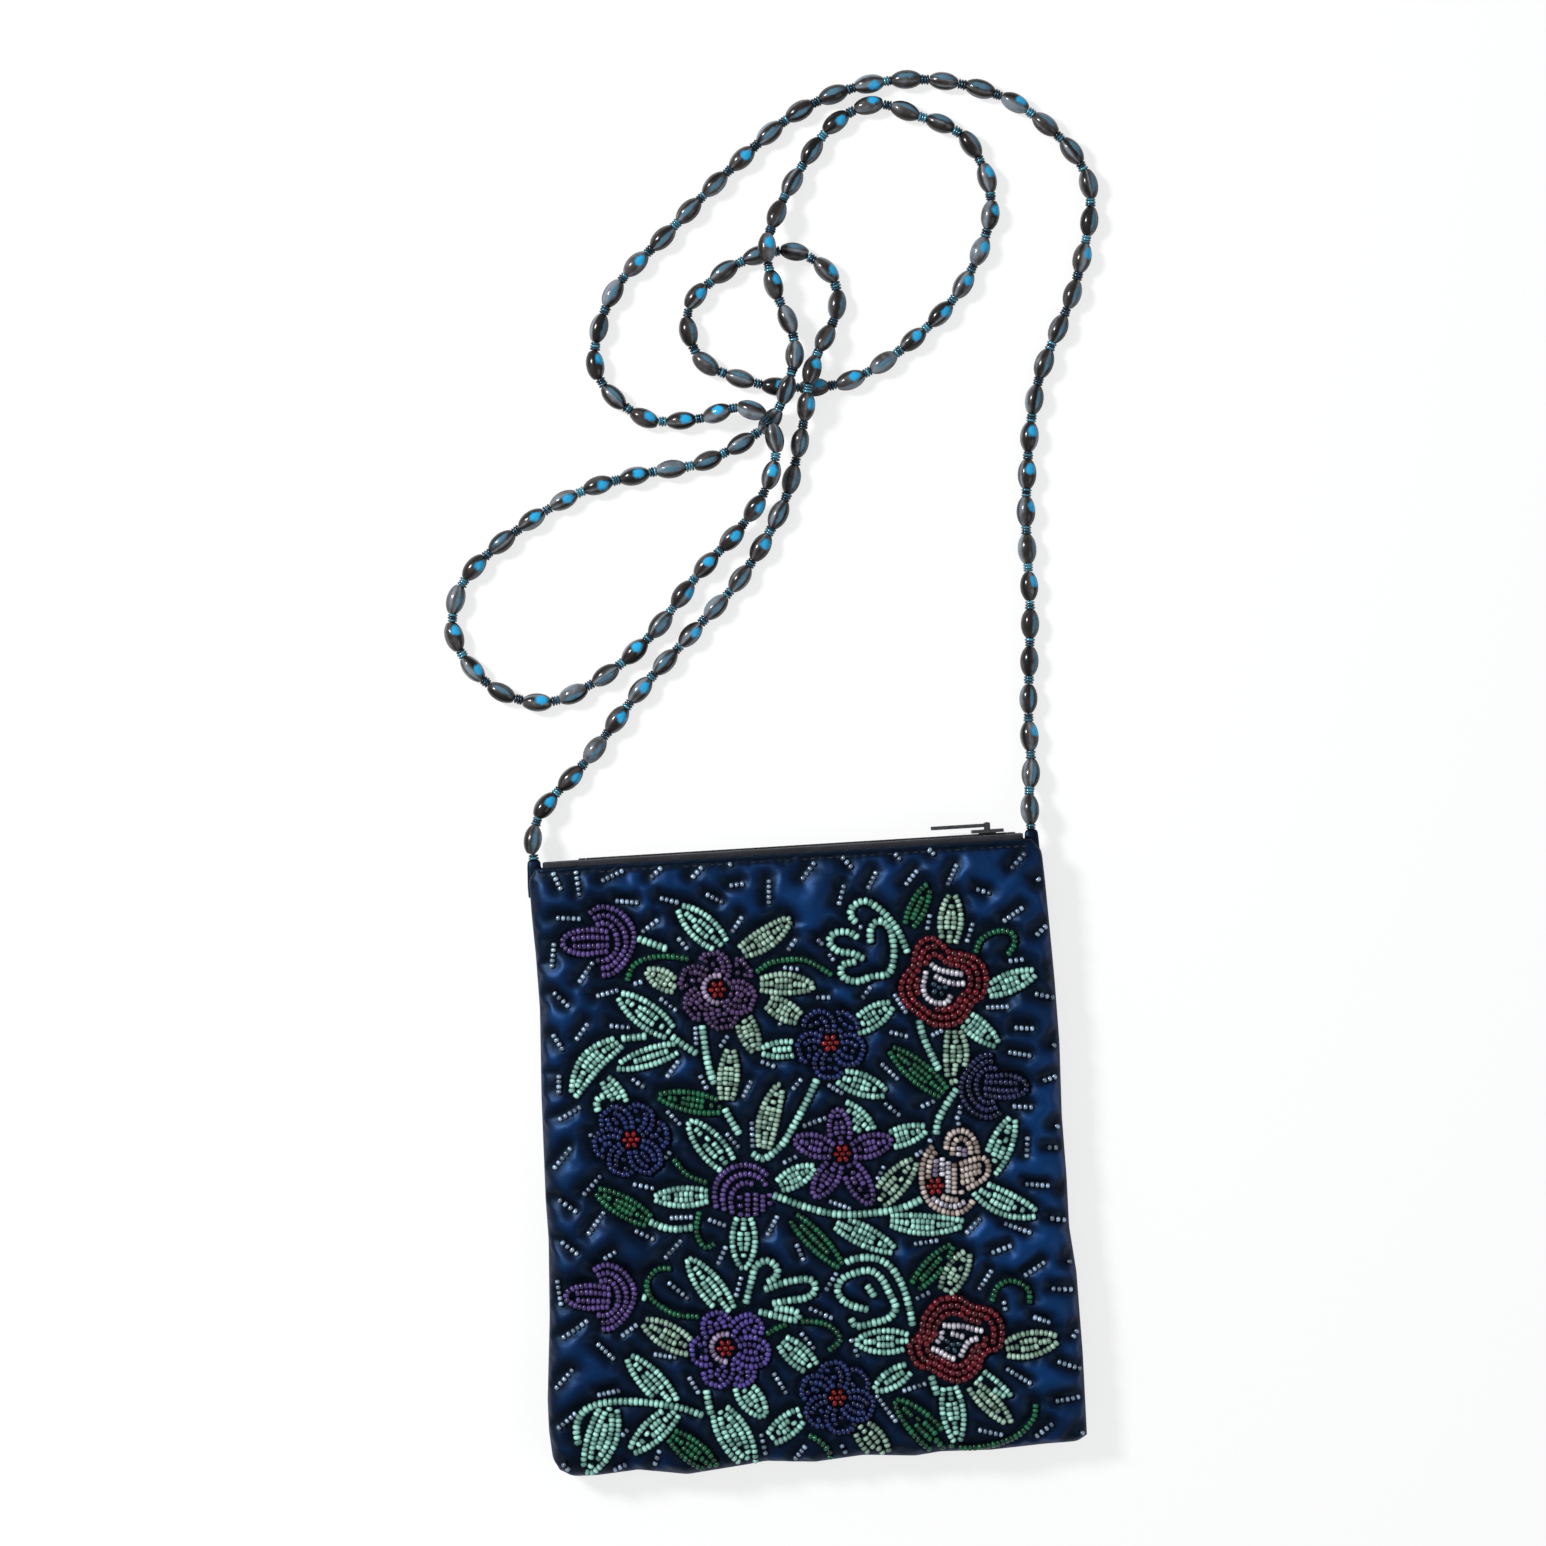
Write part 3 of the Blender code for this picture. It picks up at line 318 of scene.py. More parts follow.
# The way that the painted highlight faces, out of each bead: to the right, a little up the page, and upwards
glint_toward = (0.50, 0.20, 0.80)
glint_spread = 0.16
glint_falloff = 0.7
upward_share = 0.6
oval_place_share = 0.34
oval_length_share = 0.40
streak_length_share = 0.80
oval_breadth = 0.17
streak_breadth = 0.045


# Places and curves

def from_photo(x_pixels, y_pixels):
    """The place on the purse, across and up the page, that a pixel of the photograph shows."""
    across = (x_pixels - photo_origin_pixels[0]) * pixel_size
    down = (y_pixels - photo_origin_pixels[1]) * pixel_size
    x = across * math.cos(photo_turn) - down * math.sin(photo_turn)
    y = -across * math.sin(photo_turn) - down * math.cos(photo_turn) - photo_drop
    return np.array((x, y))


def smooth_path(points, steps):
    """Points along a smooth curve through the given ones."""
    points = [np.array(point, float) for point in points]
    run = [2 * points[0] - points[1], *points, 2 * points[-1] - points[-2]]
    path = []
    for a, b, c, d in zip(run, run[1:], run[2:], run[3:]):
        for step in range(steps):
            t = step / steps
            path.append(
                0.5 * (2 * b + (c - a) * t + (2 * a - 5 * b + 4 * c - d) * t ** 2
                       + (3 * b - a - 3 * c + d) * t ** 3)
            )
    path.append(points[-1])
    return np.array(path)


def along_path(path, distances):
    """Points and headings at the given distances along a path."""
    steps = np.linalg.norm(np.diff(path, axis=0), axis=1)
    lengths = np.concatenate(([0.0], np.cumsum(steps)))
    places = np.stack([np.interp(distances, lengths, path[:, k]) for k in range(path.shape[1])], axis=1)
    index = np.clip(np.searchsorted(lengths, distances) - 1, 0, len(steps) - 1)
    headings = np.diff(path, axis=0)[index] / steps[index][:, None]
    return places, headings


def path_length(path):
    return float(np.linalg.norm(np.diff(path, axis=0), axis=1).sum())


def outline_points():
    shares = np.array(outline_shares)
    x = shares[:, 0] * half_width
    y = panel_middle_y + shares[:, 1] * panel_half_length
    return np.stack((x, y, shares[:, 2]), axis=1)


outline = outline_points()


def edge_distance(places):
    """How far inside the outline each place is, and how far the rim turns at the nearest edge."""
    best = np.full(len(places), np.inf)
    rim = np.ones(len(places))
    for a, b in zip(outline, np.roll(outline, -1, axis=0)):
        side = b[:2] - a[:2]
        share = np.clip(((places - a[:2]) @ side) / (side @ side), 0, 1)
        away = np.linalg.norm(places - a[:2] - share[:, None] * side, axis=1)
        nearer = away < best
        best = np.where(nearer, away, best)
        rim = np.where(nearer, a[2] + (b[2] - a[2]) * share, rim)
    return best, rim


def is_inside(places):
    inside = np.zeros(len(places), bool)
    for a, b in zip(outline, np.roll(outline, -1, axis=0)):
        crosses = (a[1] > places[:, 1]) != (b[1] > places[:, 1])
        if a[1] != b[1]:
            x = a[0] + (places[:, 1] - a[1]) * (b[0] - a[0]) / (b[1] - a[1])
            inside ^= crosses & (places[:, 0] < x)
    return inside


def panel_level(places):
    """The height of the smooth panel over the middle of the bag, before it is quilted."""
    away, rim = edge_distance(places)
    turn = np.arccos(np.clip(1 - away / rim_width, 0, 1))
    level = seam_half_gap + (satin_outer - seam_half_gap) * np.sin(turn)
    return satin_outer - (satin_outer - level) * rim


# Meshes

def add_piece(name, data):
    piece = bpy.data.objects.new(name, data)
    bpy.context.scene.collection.objects.link(piece)
    return piece


def stand_in(piece, body, slot, *nodes):
    """Says which body a piece rides on and which of the frame's nodes it shows in their place. The slot is
    not used.
    """
    if body:
        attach(piece, body)
    if nodes:
        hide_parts(*nodes)


def build_mesh(name, points, quads, materials, indexes=None, smooth=True):
    """A mesh object from arrays of points and of four-sided faces."""
    mesh = bpy.data.meshes.new(name)
    mesh.vertices.add(len(points))
    mesh.vertices.foreach_set("co", np.asarray(points, np.float32).ravel())
    mesh.loops.add(len(quads) * 4)
    mesh.loops.foreach_set("vertex_index", np.asarray(quads, np.int32).ravel())
    mesh.polygons.add(len(quads))
    mesh.polygons.foreach_set("loop_start", np.arange(0, len(quads) * 4, 4, dtype=np.int32))
    mesh.polygons.foreach_set("use_smooth", np.full(len(quads), smooth))
    for material in materials:
        mesh.materials.append(material)
    if indexes is not None:
        mesh.polygons.foreach_set("material_index", np.asarray(indexes, np.int32))
    mesh.update(calc_edges=True)
    mesh.validate()
    return add_piece(name, mesh)


def set_attribute(piece, name, values):
    attribute = piece.data.attributes.new(name, "FLOAT", "POINT")
    attribute.data.foreach_set("value", np.asarray(values, np.float32))


def thicken(piece, thickness, offset):
    thick = piece.modifiers.new("thickness", "SOLIDIFY")
    thick.thickness = thickness
    thick.offset = offset


def ring_quads(rings, sides, closed_rings=False):
    """Faces between rings of equally many points, once round each."""
    quads = []
    for ring in range(rings if closed_rings else rings - 1):
        following = (ring + 1) % rings
        for side in range(sides):
            beside = (side + 1) % sides
            quads.append((
                ring * sides + side, ring * sides + beside,
                following * sides + beside, following * sides + side,
            ))
    return np.array(quads)


def grid_quads(rows, columns):
    """Faces between neighbouring places of a grid."""
    quads = []
    for row in range(rows - 1):
        for column in range(columns - 1):
            first = row * columns + column
            quads.append((first, first + 1, first + columns + 1, first + columns))
    return np.array(quads)


def bead_template(profile, sides):
    """A bead turned about X from a closed profile of (along, radius)."""
    points = []
    for along, radius in profile:
        for side in range(sides):
            angle = 2 * math.pi * side / sides
            points.append((along, radius * math.cos(angle), radius * math.sin(angle)))
    return np.array(points), ring_quads(len(profile), sides, closed_rings=True)


seed_shape_shares = [(-1.0, 0.60), (-0.74, 0.86), (0.0, 1.0), (0.74, 0.86), (1.0, 0.60)]
# Painted light on a seed bead, ring by ring from end to end: lightest in its middle, painted shade at its
# ends
seed_light_shares = [0.05, 0.38, 0.82, 1.0, 0.82, 0.38, 0.05]
# How much painted light its sides and underside keep, and how tightly the painted highlight gathers on its
# top
side_light_share = 0.16
top_light_power = 1.5


def painted_bead_light(sides):
    """How much painted light each of a bead's points has: a painted highlight on its top, painted shade at
    its ends, its sides and its underside.
    """
    cores = []
    for share in seed_light_shares:
        for side in range(sides):
            up = math.sin(2 * math.pi * side / sides)
            cores.append(share * (side_light_share + (1 - side_light_share) * max(up, 0) ** top_light_power))
    return cores


def seed_template(radius, length, hole, sides):
    profile = [(length / 2 * along, radius * reach) for along, reach in seed_shape_shares]
    return bead_template([(-length / 2, hole), *profile, (length / 2, hole)], sides)


def place_beads(template, places, headings, ups, sizes):
    """Copies of a bead at each place, with its bore along the heading."""
    points, quads = template
    across = np.cross(ups, headings)
    across /= np.linalg.norm(across, axis=1)[:, None]
    ups = np.cross(headings, across)
    axes = np.stack((headings, across, ups), axis=1) * sizes[:, None, None]
    moved = np.einsum("pk,nkj->npj", points, axes) + places[:, None, :]
    offsets = (np.arange(len(places)) * len(points))[:, None, None]
    return moved.reshape(-1, 3), (quads[None] + offsets).reshape(-1, 4)


def mark_beads(piece, count, sides, points_each):
    """A tone of its own for each bead, and the painted light on their tops and painted shade at their ends
    and sides that they all have.
    """
    set_attribute(piece, "tone", np.repeat(random.rand(count), points_each))
    set_attribute(piece, "painted_light", np.tile(painted_bead_light(sides), count))


# Materials

# How deep each material's grain is
satin_grain = 0.1 * mm
cloth_grain = 0.12 * mm
metal_grain = 0.05 * mm
plastic_grain = 0.04 * mm

# The bead colours, from their darkest, where painted shade falls on a dark tone, to their lightest, where
# painted light falls on a light one
bead_colours = {
    "mint": ((0.008, 0.048, 0.040), (0.35, 0.68, 0.59)),
    "sage": ((0.010, 0.032, 0.023), (0.34, 0.51, 0.41)),
    "green": ((0.0005, 0.007, 0.004), (0.008, 0.115, 0.050)),
    "purple": ((0.004, 0.0025, 0.014), (0.088, 0.052, 0.210)),
    "violet": ((0.004, 0.003, 0.018), (0.074, 0.050, 0.26)),
    "lavender": ((0.020, 0.014, 0.034), (0.36, 0.28, 0.44)),
    "plum": ((0.004, 0.002, 0.010), (0.070, 0.036, 0.115)),
    "thistle": ((0.0008, 0.0014, 0.007), (0.012, 0.017, 0.070)),
    "red": ((0.016, 0.0002, 0.001), (0.112, 0.001, 0.009)),
    "bright_red": ((0.040, 0.0004, 0.001), (0.18, 0.002, 0.006)),
    "navy": ((0.0005, 0.0012, 0.007), (0.007, 0.019, 0.105)),
    "cream": ((0.050, 0.030, 0.024), (0.54, 0.46, 0.43)),
    "silver": ((0.060, 0.055, 0.080), (0.66, 0.64, 0.72)),
    "blue_steel": ((0.004, 0.008, 0.020), (0.34, 0.46, 0.62)),
    "ink": ((0.001, 0.003, 0.007), (0.020, 0.055, 0.090)),
    "teal": ((0.002, 0.016, 0.028), (0.09, 0.30, 0.41)),
}

# How rough and how metallic beads are: plain glass, and the colours with a lustre
plain_gloss = (0.16, 0.0)
lustre_gloss = {"silver": (0.2, 0.2), "blue_steel": (0.16, 0.3), "ink": (0.15, 0.3), "teal": (0.15, 0.3)}


def new_material(name, roughness, metallic=0.0, specular=0.5, coat=0.0, coat_roughness=0.1, sheen=0.0):
    material = bpy.data.materials.new(name)
    material.use_nodes = True
    shader = material.node_tree.nodes["Principled BSDF"]
    shader.inputs["Roughness"].default_value = roughness
    shader.inputs["Metallic"].default_value = metallic
    shader.inputs["Specular IOR Level"].default_value = specular
    shader.inputs["Coat Weight"].default_value = coat
    shader.inputs["Coat Roughness"].default_value = coat_roughness
    shader.inputs["Sheen Weight"].default_value = sheen
    return material, shader


def add_node(material, kind, **inputs):
    node = material.node_tree.nodes.new(kind)
    for name, value in inputs.items():
        node.inputs[name.replace("_", " ")].default_value = value
    return node


def link(material, source, target):
    material.node_tree.links.new(source, target)


def noise(material, scale, detail=2.0, stretch=(1, 1, 1)):
    place = add_node(material, "ShaderNodeTexCoord")
    mapping = add_node(material, "ShaderNodeMapping", Scale=stretch)
    texture = add_node(material, "ShaderNodeTexNoise", Scale=scale, Detail=detail)
    link(material, place.outputs["Object"], mapping.inputs["Vector"])
    link(material, mapping.outputs["Vector"], texture.inputs["Vector"])
    return texture.outputs["Fac"]


def attribute(material, name):
    node = add_node(material, "ShaderNodeAttribute")
    node.attribute_name = name
    return node.outputs["Fac"]


def ramp(material, factor, stops):
    node = add_node(material, "ShaderNodeValToRGB")
    elements = node.color_ramp.elements
    while len(elements) < len(stops):
        elements.new(0.5)
    for element, (place, colour) in zip(elements, stops):
        element.position = place
        element.color = (*colour, 1.0)
    link(material, factor, node.inputs["Fac"])
    return node.outputs["Color"]


def colour_by(material, shader, factor, stops):
    link(material, ramp(material, factor, stops), shader.inputs["Base Color"])


def combine(material, operation, first, second):
    node = add_node(material, "ShaderNodeMath")
    node.operation = operation
    for socket, value in zip(node.inputs, (first, second)):
        if isinstance(value, (int, float)):
            socket.default_value = value
        else:
            link(material, value, socket)
    return node.outputs["Value"]


def bump(material, shader, height, strength, distance):
    node = add_node(material, "ShaderNodeBump", Strength=strength, Distance=distance)
    link(material, height, node.inputs["Height"])
    link(material, node.outputs["Normal"], shader.inputs["Normal"])


def satin_material(name, valley, middle, crest):
    """Satin: painted shade darkens it in its creases, painted sheen lightens it in broad patches, and fine
    threads run across it.
    """
    material, shader = new_material(name, 0.44, metallic=0.30, specular=0.35, sheen=0.04)
    shader.inputs["Sheen Roughness"].default_value = 0.4
    shader.inputs["Sheen Tint"].default_value = (0.20, 0.45, 1.0, 1.0)
    shader.inputs["Specular Tint"].default_value = (0.30, 0.55, 1.0, 1.0)
    # Painted sheen: broad cloudy patches, lighter and darker, as where light catches the satin and where it
    # misses it; the finer mottle is uneven tone
    painted_sheen_clouds = combine(material, "MULTIPLY", noise(material, 24, 1.0), 1.1)
    mottle = combine(material, "MULTIPLY", noise(material, 130, 3.0), 0.5)
    level = combine(material, "ADD", painted_sheen_clouds, mottle)
    # Painted shade: the colour is darkest where the satin rises least, in its creases and troughs
    depth = combine(material, "MULTIPLY", attribute(material, "rise_and_shade"), level)
    colour_by(material, shader, depth, [(0.16, valley), (0.52, middle), (0.95, crest)])
    threads = noise(material, 2600, 2.0, (0.16, 1, 1))
    wrinkles = combine(material, "MULTIPLY", noise(material, 420, 2.0), 2.5)
    bump(material, shader, combine(material, "ADD", threads, wrinkles), 0.3, satin_grain)
    return material


def cloth_material(name, dark, light, weave=1800, roughness=0.85):
    """Plain woven cloth, its threads crossing."""
    material, shader = new_material(name, roughness, specular=0.3, sheen=0.2)
    warp = noise(material, weave, 1.0, (0.2, 1, 1))
    weft = noise(material, weave, 1.0, (1, 0.2, 1))
    threads = combine(material, "ADD", warp, weft)
    cloud = noise(material, 90, 2.0)
    tone = combine(material, "MULTIPLY", threads, cloud)
    colour_by(material, shader, tone, [(0.25, dark), (0.75, light)])
    bump(material, shader, threads, 0.35, cloth_grain)
    return material


def bead_material(name, dark, light, roughness, metallic):
    """Glass seed beads: each bead has its own tone, lighter on its top by painted light and darker towards
    its two ends and its sides by painted shade.
    """
    material, shader = new_material(
        name, roughness, metallic=metallic, specular=0.18, coat=0.45, coat_roughness=0.06)
    swirl = combine(material, "MULTIPLY", noise(material, 800, 1.0), 0.7)
    tone = combine(material, "ADD", attribute(material, "tone"), swirl)
    tone = combine(material, "MULTIPLY", tone, 0.75)
    # Painted light and shade: lighter on the top of each bead, darker at its ends and sides
    tone = combine(material, "MULTIPLY", tone, attribute(material, "painted_light"))
    colour_by(material, shader, tone, [(0.06, dark), (0.85, light)])
    return material


def metal_material(name, dark, light, roughness):
    material, shader = new_material(name, roughness, metallic=1.0)
    wear = noise(material, 700, 3.0, (1, 6, 1))
    colour_by(material, shader, wear, [(0.3, dark), (0.7, light)])
    bump(material, shader, wear, 0.15, metal_grain)
    return material


def plastic_material(name, dark, light):
    material, shader = new_material(name, 0.38, specular=0.5)
    grain = noise(material, 1500, 2.0)
    colour_by(material, shader, grain, [(0.3, dark), (0.7, light)])
    bump(material, shader, grain, 0.2, plastic_grain)
    return material


def strap_glass_material():
    """Smoky brown-grey glass: lighter streaks along each bead, and a painted glint, a cyan or grey-blue
    painted highlight, on one side of it.
    """
    material, shader = new_material("smoky_glass", 0.22, specular=0.16, coat=0.22, coat_roughness=0.05)
    shader.inputs["IOR"].default_value = 1.52
    depths = combine(material, "MULTIPLY", noise(material, 320, 2.0), 0.5)
    tone = combine(material, "MULTIPLY", attribute(material, "streak"), 0.7)
    tone = combine(material, "ADD", tone, depths)
    stops = [(0.25, (0.003, 0.004, 0.005)), (0.48, (0.017, 0.013, 0.012)), (0.68, (0.050, 0.045, 0.044)),
             (0.90, (0.15, 0.18, 0.21))]
    glass = ramp(material, tone, stops)
    # The painted glint's colour: cyan on the ovals, grey-blue on the long streaks
    hues = [(0.3, (0.018, 0.32, 0.60)), (0.7, (0.060, 0.140, 0.20))]
    painted_glint = ramp(material, attribute(material, "hue"), hues)
    uneven = combine(material, "MULTIPLY", noise(material, 700, 2.0), 0.5)
    glint_mask = combine(material, "ADD", attribute(material, "painted_glint"), uneven)
    edge = ramp(material, glint_mask, [(0.62, (0, 0, 0)), (0.95, (1, 1, 1))])
    mix = add_node(material, "ShaderNodeMix")
    mix.data_type = "RGBA"
    link(material, edge, mix.inputs["Factor"])
    link(material, glass, mix.inputs[6])
    link(material, painted_glint, mix.inputs[7])
    link(material, mix.outputs[2], shader.inputs["Base Color"])
    return material


def make_materials():
    made = {
        "satin": satin_material("navy_satin", (0.0004, 0.0009, 0.0030), (0.0008, 0.0055, 0.024),
                                (0.0020, 0.025, 0.102)),
        "dark_satin": satin_material("dark_satin", (0.0006, 0.0009, 0.002), (0.0011, 0.003, 0.010),
                                     (0.002, 0.009, 0.030)),
        "lining": cloth_material("lining_cloth", (0.006, 0.009, 0.022), (0.016, 0.024, 0.055), 1500, 0.6),
        "wadding": cloth_material("wadding_cloth", (0.50, 0.50, 0.47), (0.78, 0.78, 0.75), 700, 0.95),
        "tape": cloth_material("zip_tape_cloth", (0.002, 0.002, 0.004), (0.012, 0.013, 0.019), 1600, 0.8),
        "teeth": plastic_material("zip_teeth_plastic", (0.005, 0.005, 0.008), (0.015, 0.015, 0.021)),
        "metal": metal_material("dark_metal", (0.055, 0.055, 0.062), (0.16, 0.16, 0.17), 0.34),
        "thread": cloth_material("navy_thread", (0.001, 0.002, 0.005), (0.006, 0.010, 0.022), 3000, 0.7),
        "glass": strap_glass_material(),
    }
    for name, (dark, light) in bead_colours.items():
        roughness, metallic = lustre_gloss.get(name, plain_gloss)
        made[name] = bead_material(name + "_beads", dark, light, roughness, metallic)
    return made


materials = make_materials()


# The camera, straight above the table as in the photograph

def make_camera():
    middle = from_photo(*photo_middle_pixels)
    data = bpy.data.cameras.new("camera")
    data.sensor_width = sensor_width_mm
    data.lens = data.sensor_width * camera_height / (photo_width_pixels * pixel_size)
    data.clip_start = clip_near
    data.clip_end = clip_far
    camera = add_piece("camera", data)
    camera.location = (middle[0], middle[1], camera_height + middle_height)
    camera.rotation_euler = (0, 0, -photo_turn)
    bpy.context.scene.camera = camera


# The strap

# A strap bead's shape: shares of half its length and of its radius
glass_shape_shares = [
    (-1.00, 0.14), (-1.00, 0.36), (-0.94, 0.50), (-0.80, 0.66), (-0.60, 0.83), (-0.36, 0.95), (-0.12, 1.0),
    (0.12, 1.0), (0.36, 0.95), (0.60, 0.83), (0.80, 0.66), (0.94, 0.50), (1.00, 0.36), (1.00, 0.14),
]


def glass_template():
    """A long glass bead that swells in the middle."""
    profile = []
    for along, reach in glass_shape_shares:
        profile.append((glass_bead_length / 2 * along, glass_bead_radius * reach))
    return bead_template(profile, glass_sides)


def upright(headings):
    ups = np.tile((0.0, 0.0, 1.0), (len(headings), 1))
    return ups - headings * (ups * headings).sum(axis=1)[:, None]


def mark_painted_glint(glass, points, places, headings):
    """Streaks along each strap bead, and the painted glint, an oval or a long painted highlight, on its
    upper right side.
    """
    count, each = points.shape[:2]
    offsets = points - places[:, None, :]
    along = np.einsum("npk,nk->np", offsets, headings)
    radial = offsets - along[:, :, None] * headings[:, None, :]
    radial /= np.maximum(np.linalg.norm(radial, axis=2), tiny)[:, :, None]
    side = np.where(headings[:, 0] + upward_share * headings[:, 1] > 0, 1.0, -1.0)
    oval = random.rand(count) < oval_share
    toward = np.array(glint_toward) + random.normal(0, glint_spread, (count, 3))
    toward -= headings * (toward * headings).sum(axis=1)[:, None]
    toward /= np.linalg.norm(toward, axis=1)[:, None]
    turned = 1 - np.einsum("npk,nk->np", radial, toward)
    middle = np.where(oval, side * oval_place_share, 0.0)[:, None]
    reach = np.where(oval, oval_length_share, streak_length_share)[:, None]
    breadth = np.where(oval, oval_breadth, streak_breadth)[:, None]
    away = ((along / (glass_bead_length / 2) - middle) / reach) ** 2
    glint_mask = np.exp(-away * glint_falloff - turned / breadth * glint_falloff)
    streaks = random.rand(count, glass_sides)
    set_attribute(glass, "streak", np.tile(streaks, (1, each // glass_sides)).ravel())
    set_attribute(glass, "painted_glint", glint_mask.ravel())
    set_attribute(glass, "hue", np.repeat(np.where(oval, 0.0, 1.0), each))


def make_glass_beads(route, centres):
    places, headings = along_path(route, centres)
    sizes = 1 + glass_size_spread * (random.rand(len(centres)) - 0.5)
    points, quads = place_beads(glass_template(), places, headings, upright(headings), sizes)
    glass = build_mesh("strap_glass_beads", points, quads, [materials["glass"]])
    mark_painted_glint(glass, points.reshape(len(centres), -1, 3), places, headings)
    return glass


def make_strap_seeds(route, centres):
    """Small beads between the glass ones, in two tones, and a few before the first."""
    length = path_length(route)
    seed = seed_template(strap_seed_radius, strap_seed_length, thread_radius, strap_seed_sides)
    half_run = (glass_bead_length + strap_seed_length) / 2
    distances = [centres[0] - half_run - strap_seed_length, centres[0] - half_run]
    for centre in centres:
        distances += [centre + half_run + strap_seed_length * place for place in range(seeds_between)]
    distances = [distance for distance in distances if distance < length + strap_seed_length / 2]
    places, headings = along_path(route, np.clip(distances, 0, length))
    tones = random.rand(len(distances))
    pieces = []
    for name, picked in (("ink", tones < ink_share), ("teal", tones >= ink_share)):
        count = int(picked.sum())
        sizes = 1 + strap_seed_size_spread * (random.rand(count) - 0.5)
        points, quads = place_beads(seed, places[picked], headings[picked], upright(headings[picked]), sizes)
        piece = build_mesh(f"strap_{name}_seeds", points, quads, [materials[name]])
        mark_beads(piece, count, strap_seed_sides, len(seed[0]))
        pieces.append(piece)
    return pieces


def make_thread(route):
    thread = bpy.data.curves.new("strap_thread", "CURVE")
    thread.dimensions = "3D"
    thread.bevel_depth = thread_radius
    thread.bevel_resolution = 1
    thread.use_fill_caps = True
    spline = thread.splines.new("POLY")
    spline.points.add(len(route) - 1)
    for target, point in zip(spline.points, route):
        target.co = (*point, 1.0)
    thread.materials.append(materials["thread"])
    return add_piece("strap_thread", thread)


def make_strap():
    route = smooth_path(np.array(strap_route) * mm, route_steps)
    length = path_length(route)
    count = int(length / strap_repeat)
    centres = (np.arange(count) + 0.5) * (length / count)
    glass = make_glass_beads(route, centres)
    others = [*make_strap_seeds(route, centres), make_thread(route)]
    for piece in (glass, *others):
        stand_in(piece, "back", "strap_beads")
    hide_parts("strap")


# The floor, the lamps and the world

def show_camera(owner, real, seen, share, output):
    """Lets the camera see one look for the given share, and all other light the real one."""
    rays = add_node(owner, "ShaderNodeLightPath")
    mix = add_node(owner, "ShaderNodeMixShader")
    link(owner, combine(owner, "MULTIPLY", rays.outputs["Is Camera Ray"], share), mix.inputs["Fac"])
    link(owner, real, mix.inputs[1])
    link(owner, seen, mix.inputs[2])
    link(owner, mix.outputs["Shader"], owner.node_tree.nodes[output].inputs["Surface"])


def make_stage():
    """A pale floor that the camera sees lit from within, so that it is even and still takes shadows."""
    corners = [(x * floor_reach, y * floor_reach, 0) for x, y in ((-1, -1), (1, -1), (1, 1), (-1, 1))]
    material, shader = new_material("pale_floor", floor_roughness)
    shader.inputs["Base Color"].default_value = floor_colour
    glow = add_node(material, "ShaderNodeEmission")
    real, seen = shader.outputs["BSDF"], glow.outputs["Emission"]
    show_camera(material, real, seen, floor_glow_share, "Material Output")
    build_mesh("floor", corners, [(0, 1, 2, 3)], [material], smooth=False)


def area_lamp(name, place, size, power):
    data = bpy.data.lights.new(name, "AREA")
    data.shape = "DISK"
    data.size = size
    data.energy = power
    lamp = add_piece(name, data)
    lamp.location = place
    aim = Vector(lamp_target) - Vector(place)
    lamp.rotation_euler = aim.to_track_quat("-Z", "Y").to_euler()


def make_light():
    """Two lamps, and a pale world that the camera sees as white."""
    area_lamp("key_lamp", **key_lamp)
    area_lamp("fill_lamp", **fill_lamp)
    world = bpy.data.worlds.new("world")
    bpy.context.scene.world = world
    world.use_nodes = True
    background = world.node_tree.nodes["Background"]
    background.inputs["Color"].default_value = world_colour
    background.inputs["Strength"].default_value = world_strength
    plain = add_node(world, "ShaderNodeBackground", Color=(1, 1, 1, 1))
    real, seen = background.outputs["Background"], plain.outputs["Background"]
    show_camera(world, real, seen, 1.0, "World Output")
    bpy.context.scene.view_settings.view_transform = "Standard"


# Beadwork: each row is laid from pixels read off the photograph, in beads of one colour

class Beadwork:
    """The beads laid so far, so that no bead is set into another."""

    def __init__(self):
        self.places = []
        self.row_numbers = []
        self.reaches = []
        self.cells = {}
        self.rows_laid = 0

    def is_free(self, place, row):
        column, line = int(place[0] // cell_size), int(place[1] // cell_size)
        for i in (column - 1, column, column + 1):
            for j in (line - 1, line, line + 1):
                for number in self.cells.get((i, j), ()):
                    gap = np.linalg.norm(place - self.places[number])
                    least = least_bead_gap if self.row_numbers[number] == row else least_row_gap
                    if gap < least:
                        return False
        return True

    def add(self, place, row, reach):
        cell = (int(place[0] // cell_size), int(place[1] // cell_size))
        self.cells.setdefault(cell, []).append(len(self.places))
        self.places.append(place)
        self.row_numbers.append(row)
        self.reaches.append(reach)


beadwork = Beadwork()


def lay_row(path, colour, kind="seed"):
    """Beads at even steps along a path on the page, left out where they would lie in others."""
    beadwork.rows_laid += 1
    radius, bead_length, pitch = bead_sizes[kind]
    length = path_length(path)
    count = max(int(round(length / pitch)), 1)
    distances = (np.arange(count) + 0.5) * length / count
    places, headings = along_path(path, distances)
    laid = []
    for place, heading in zip(places, headings):
        if beadwork.is_free(place, beadwork.rows_laid):
            beadwork.add(place, beadwork.rows_laid, satin_reaches[kind])
            laid.append((place, heading, colour, kind))
    return laid


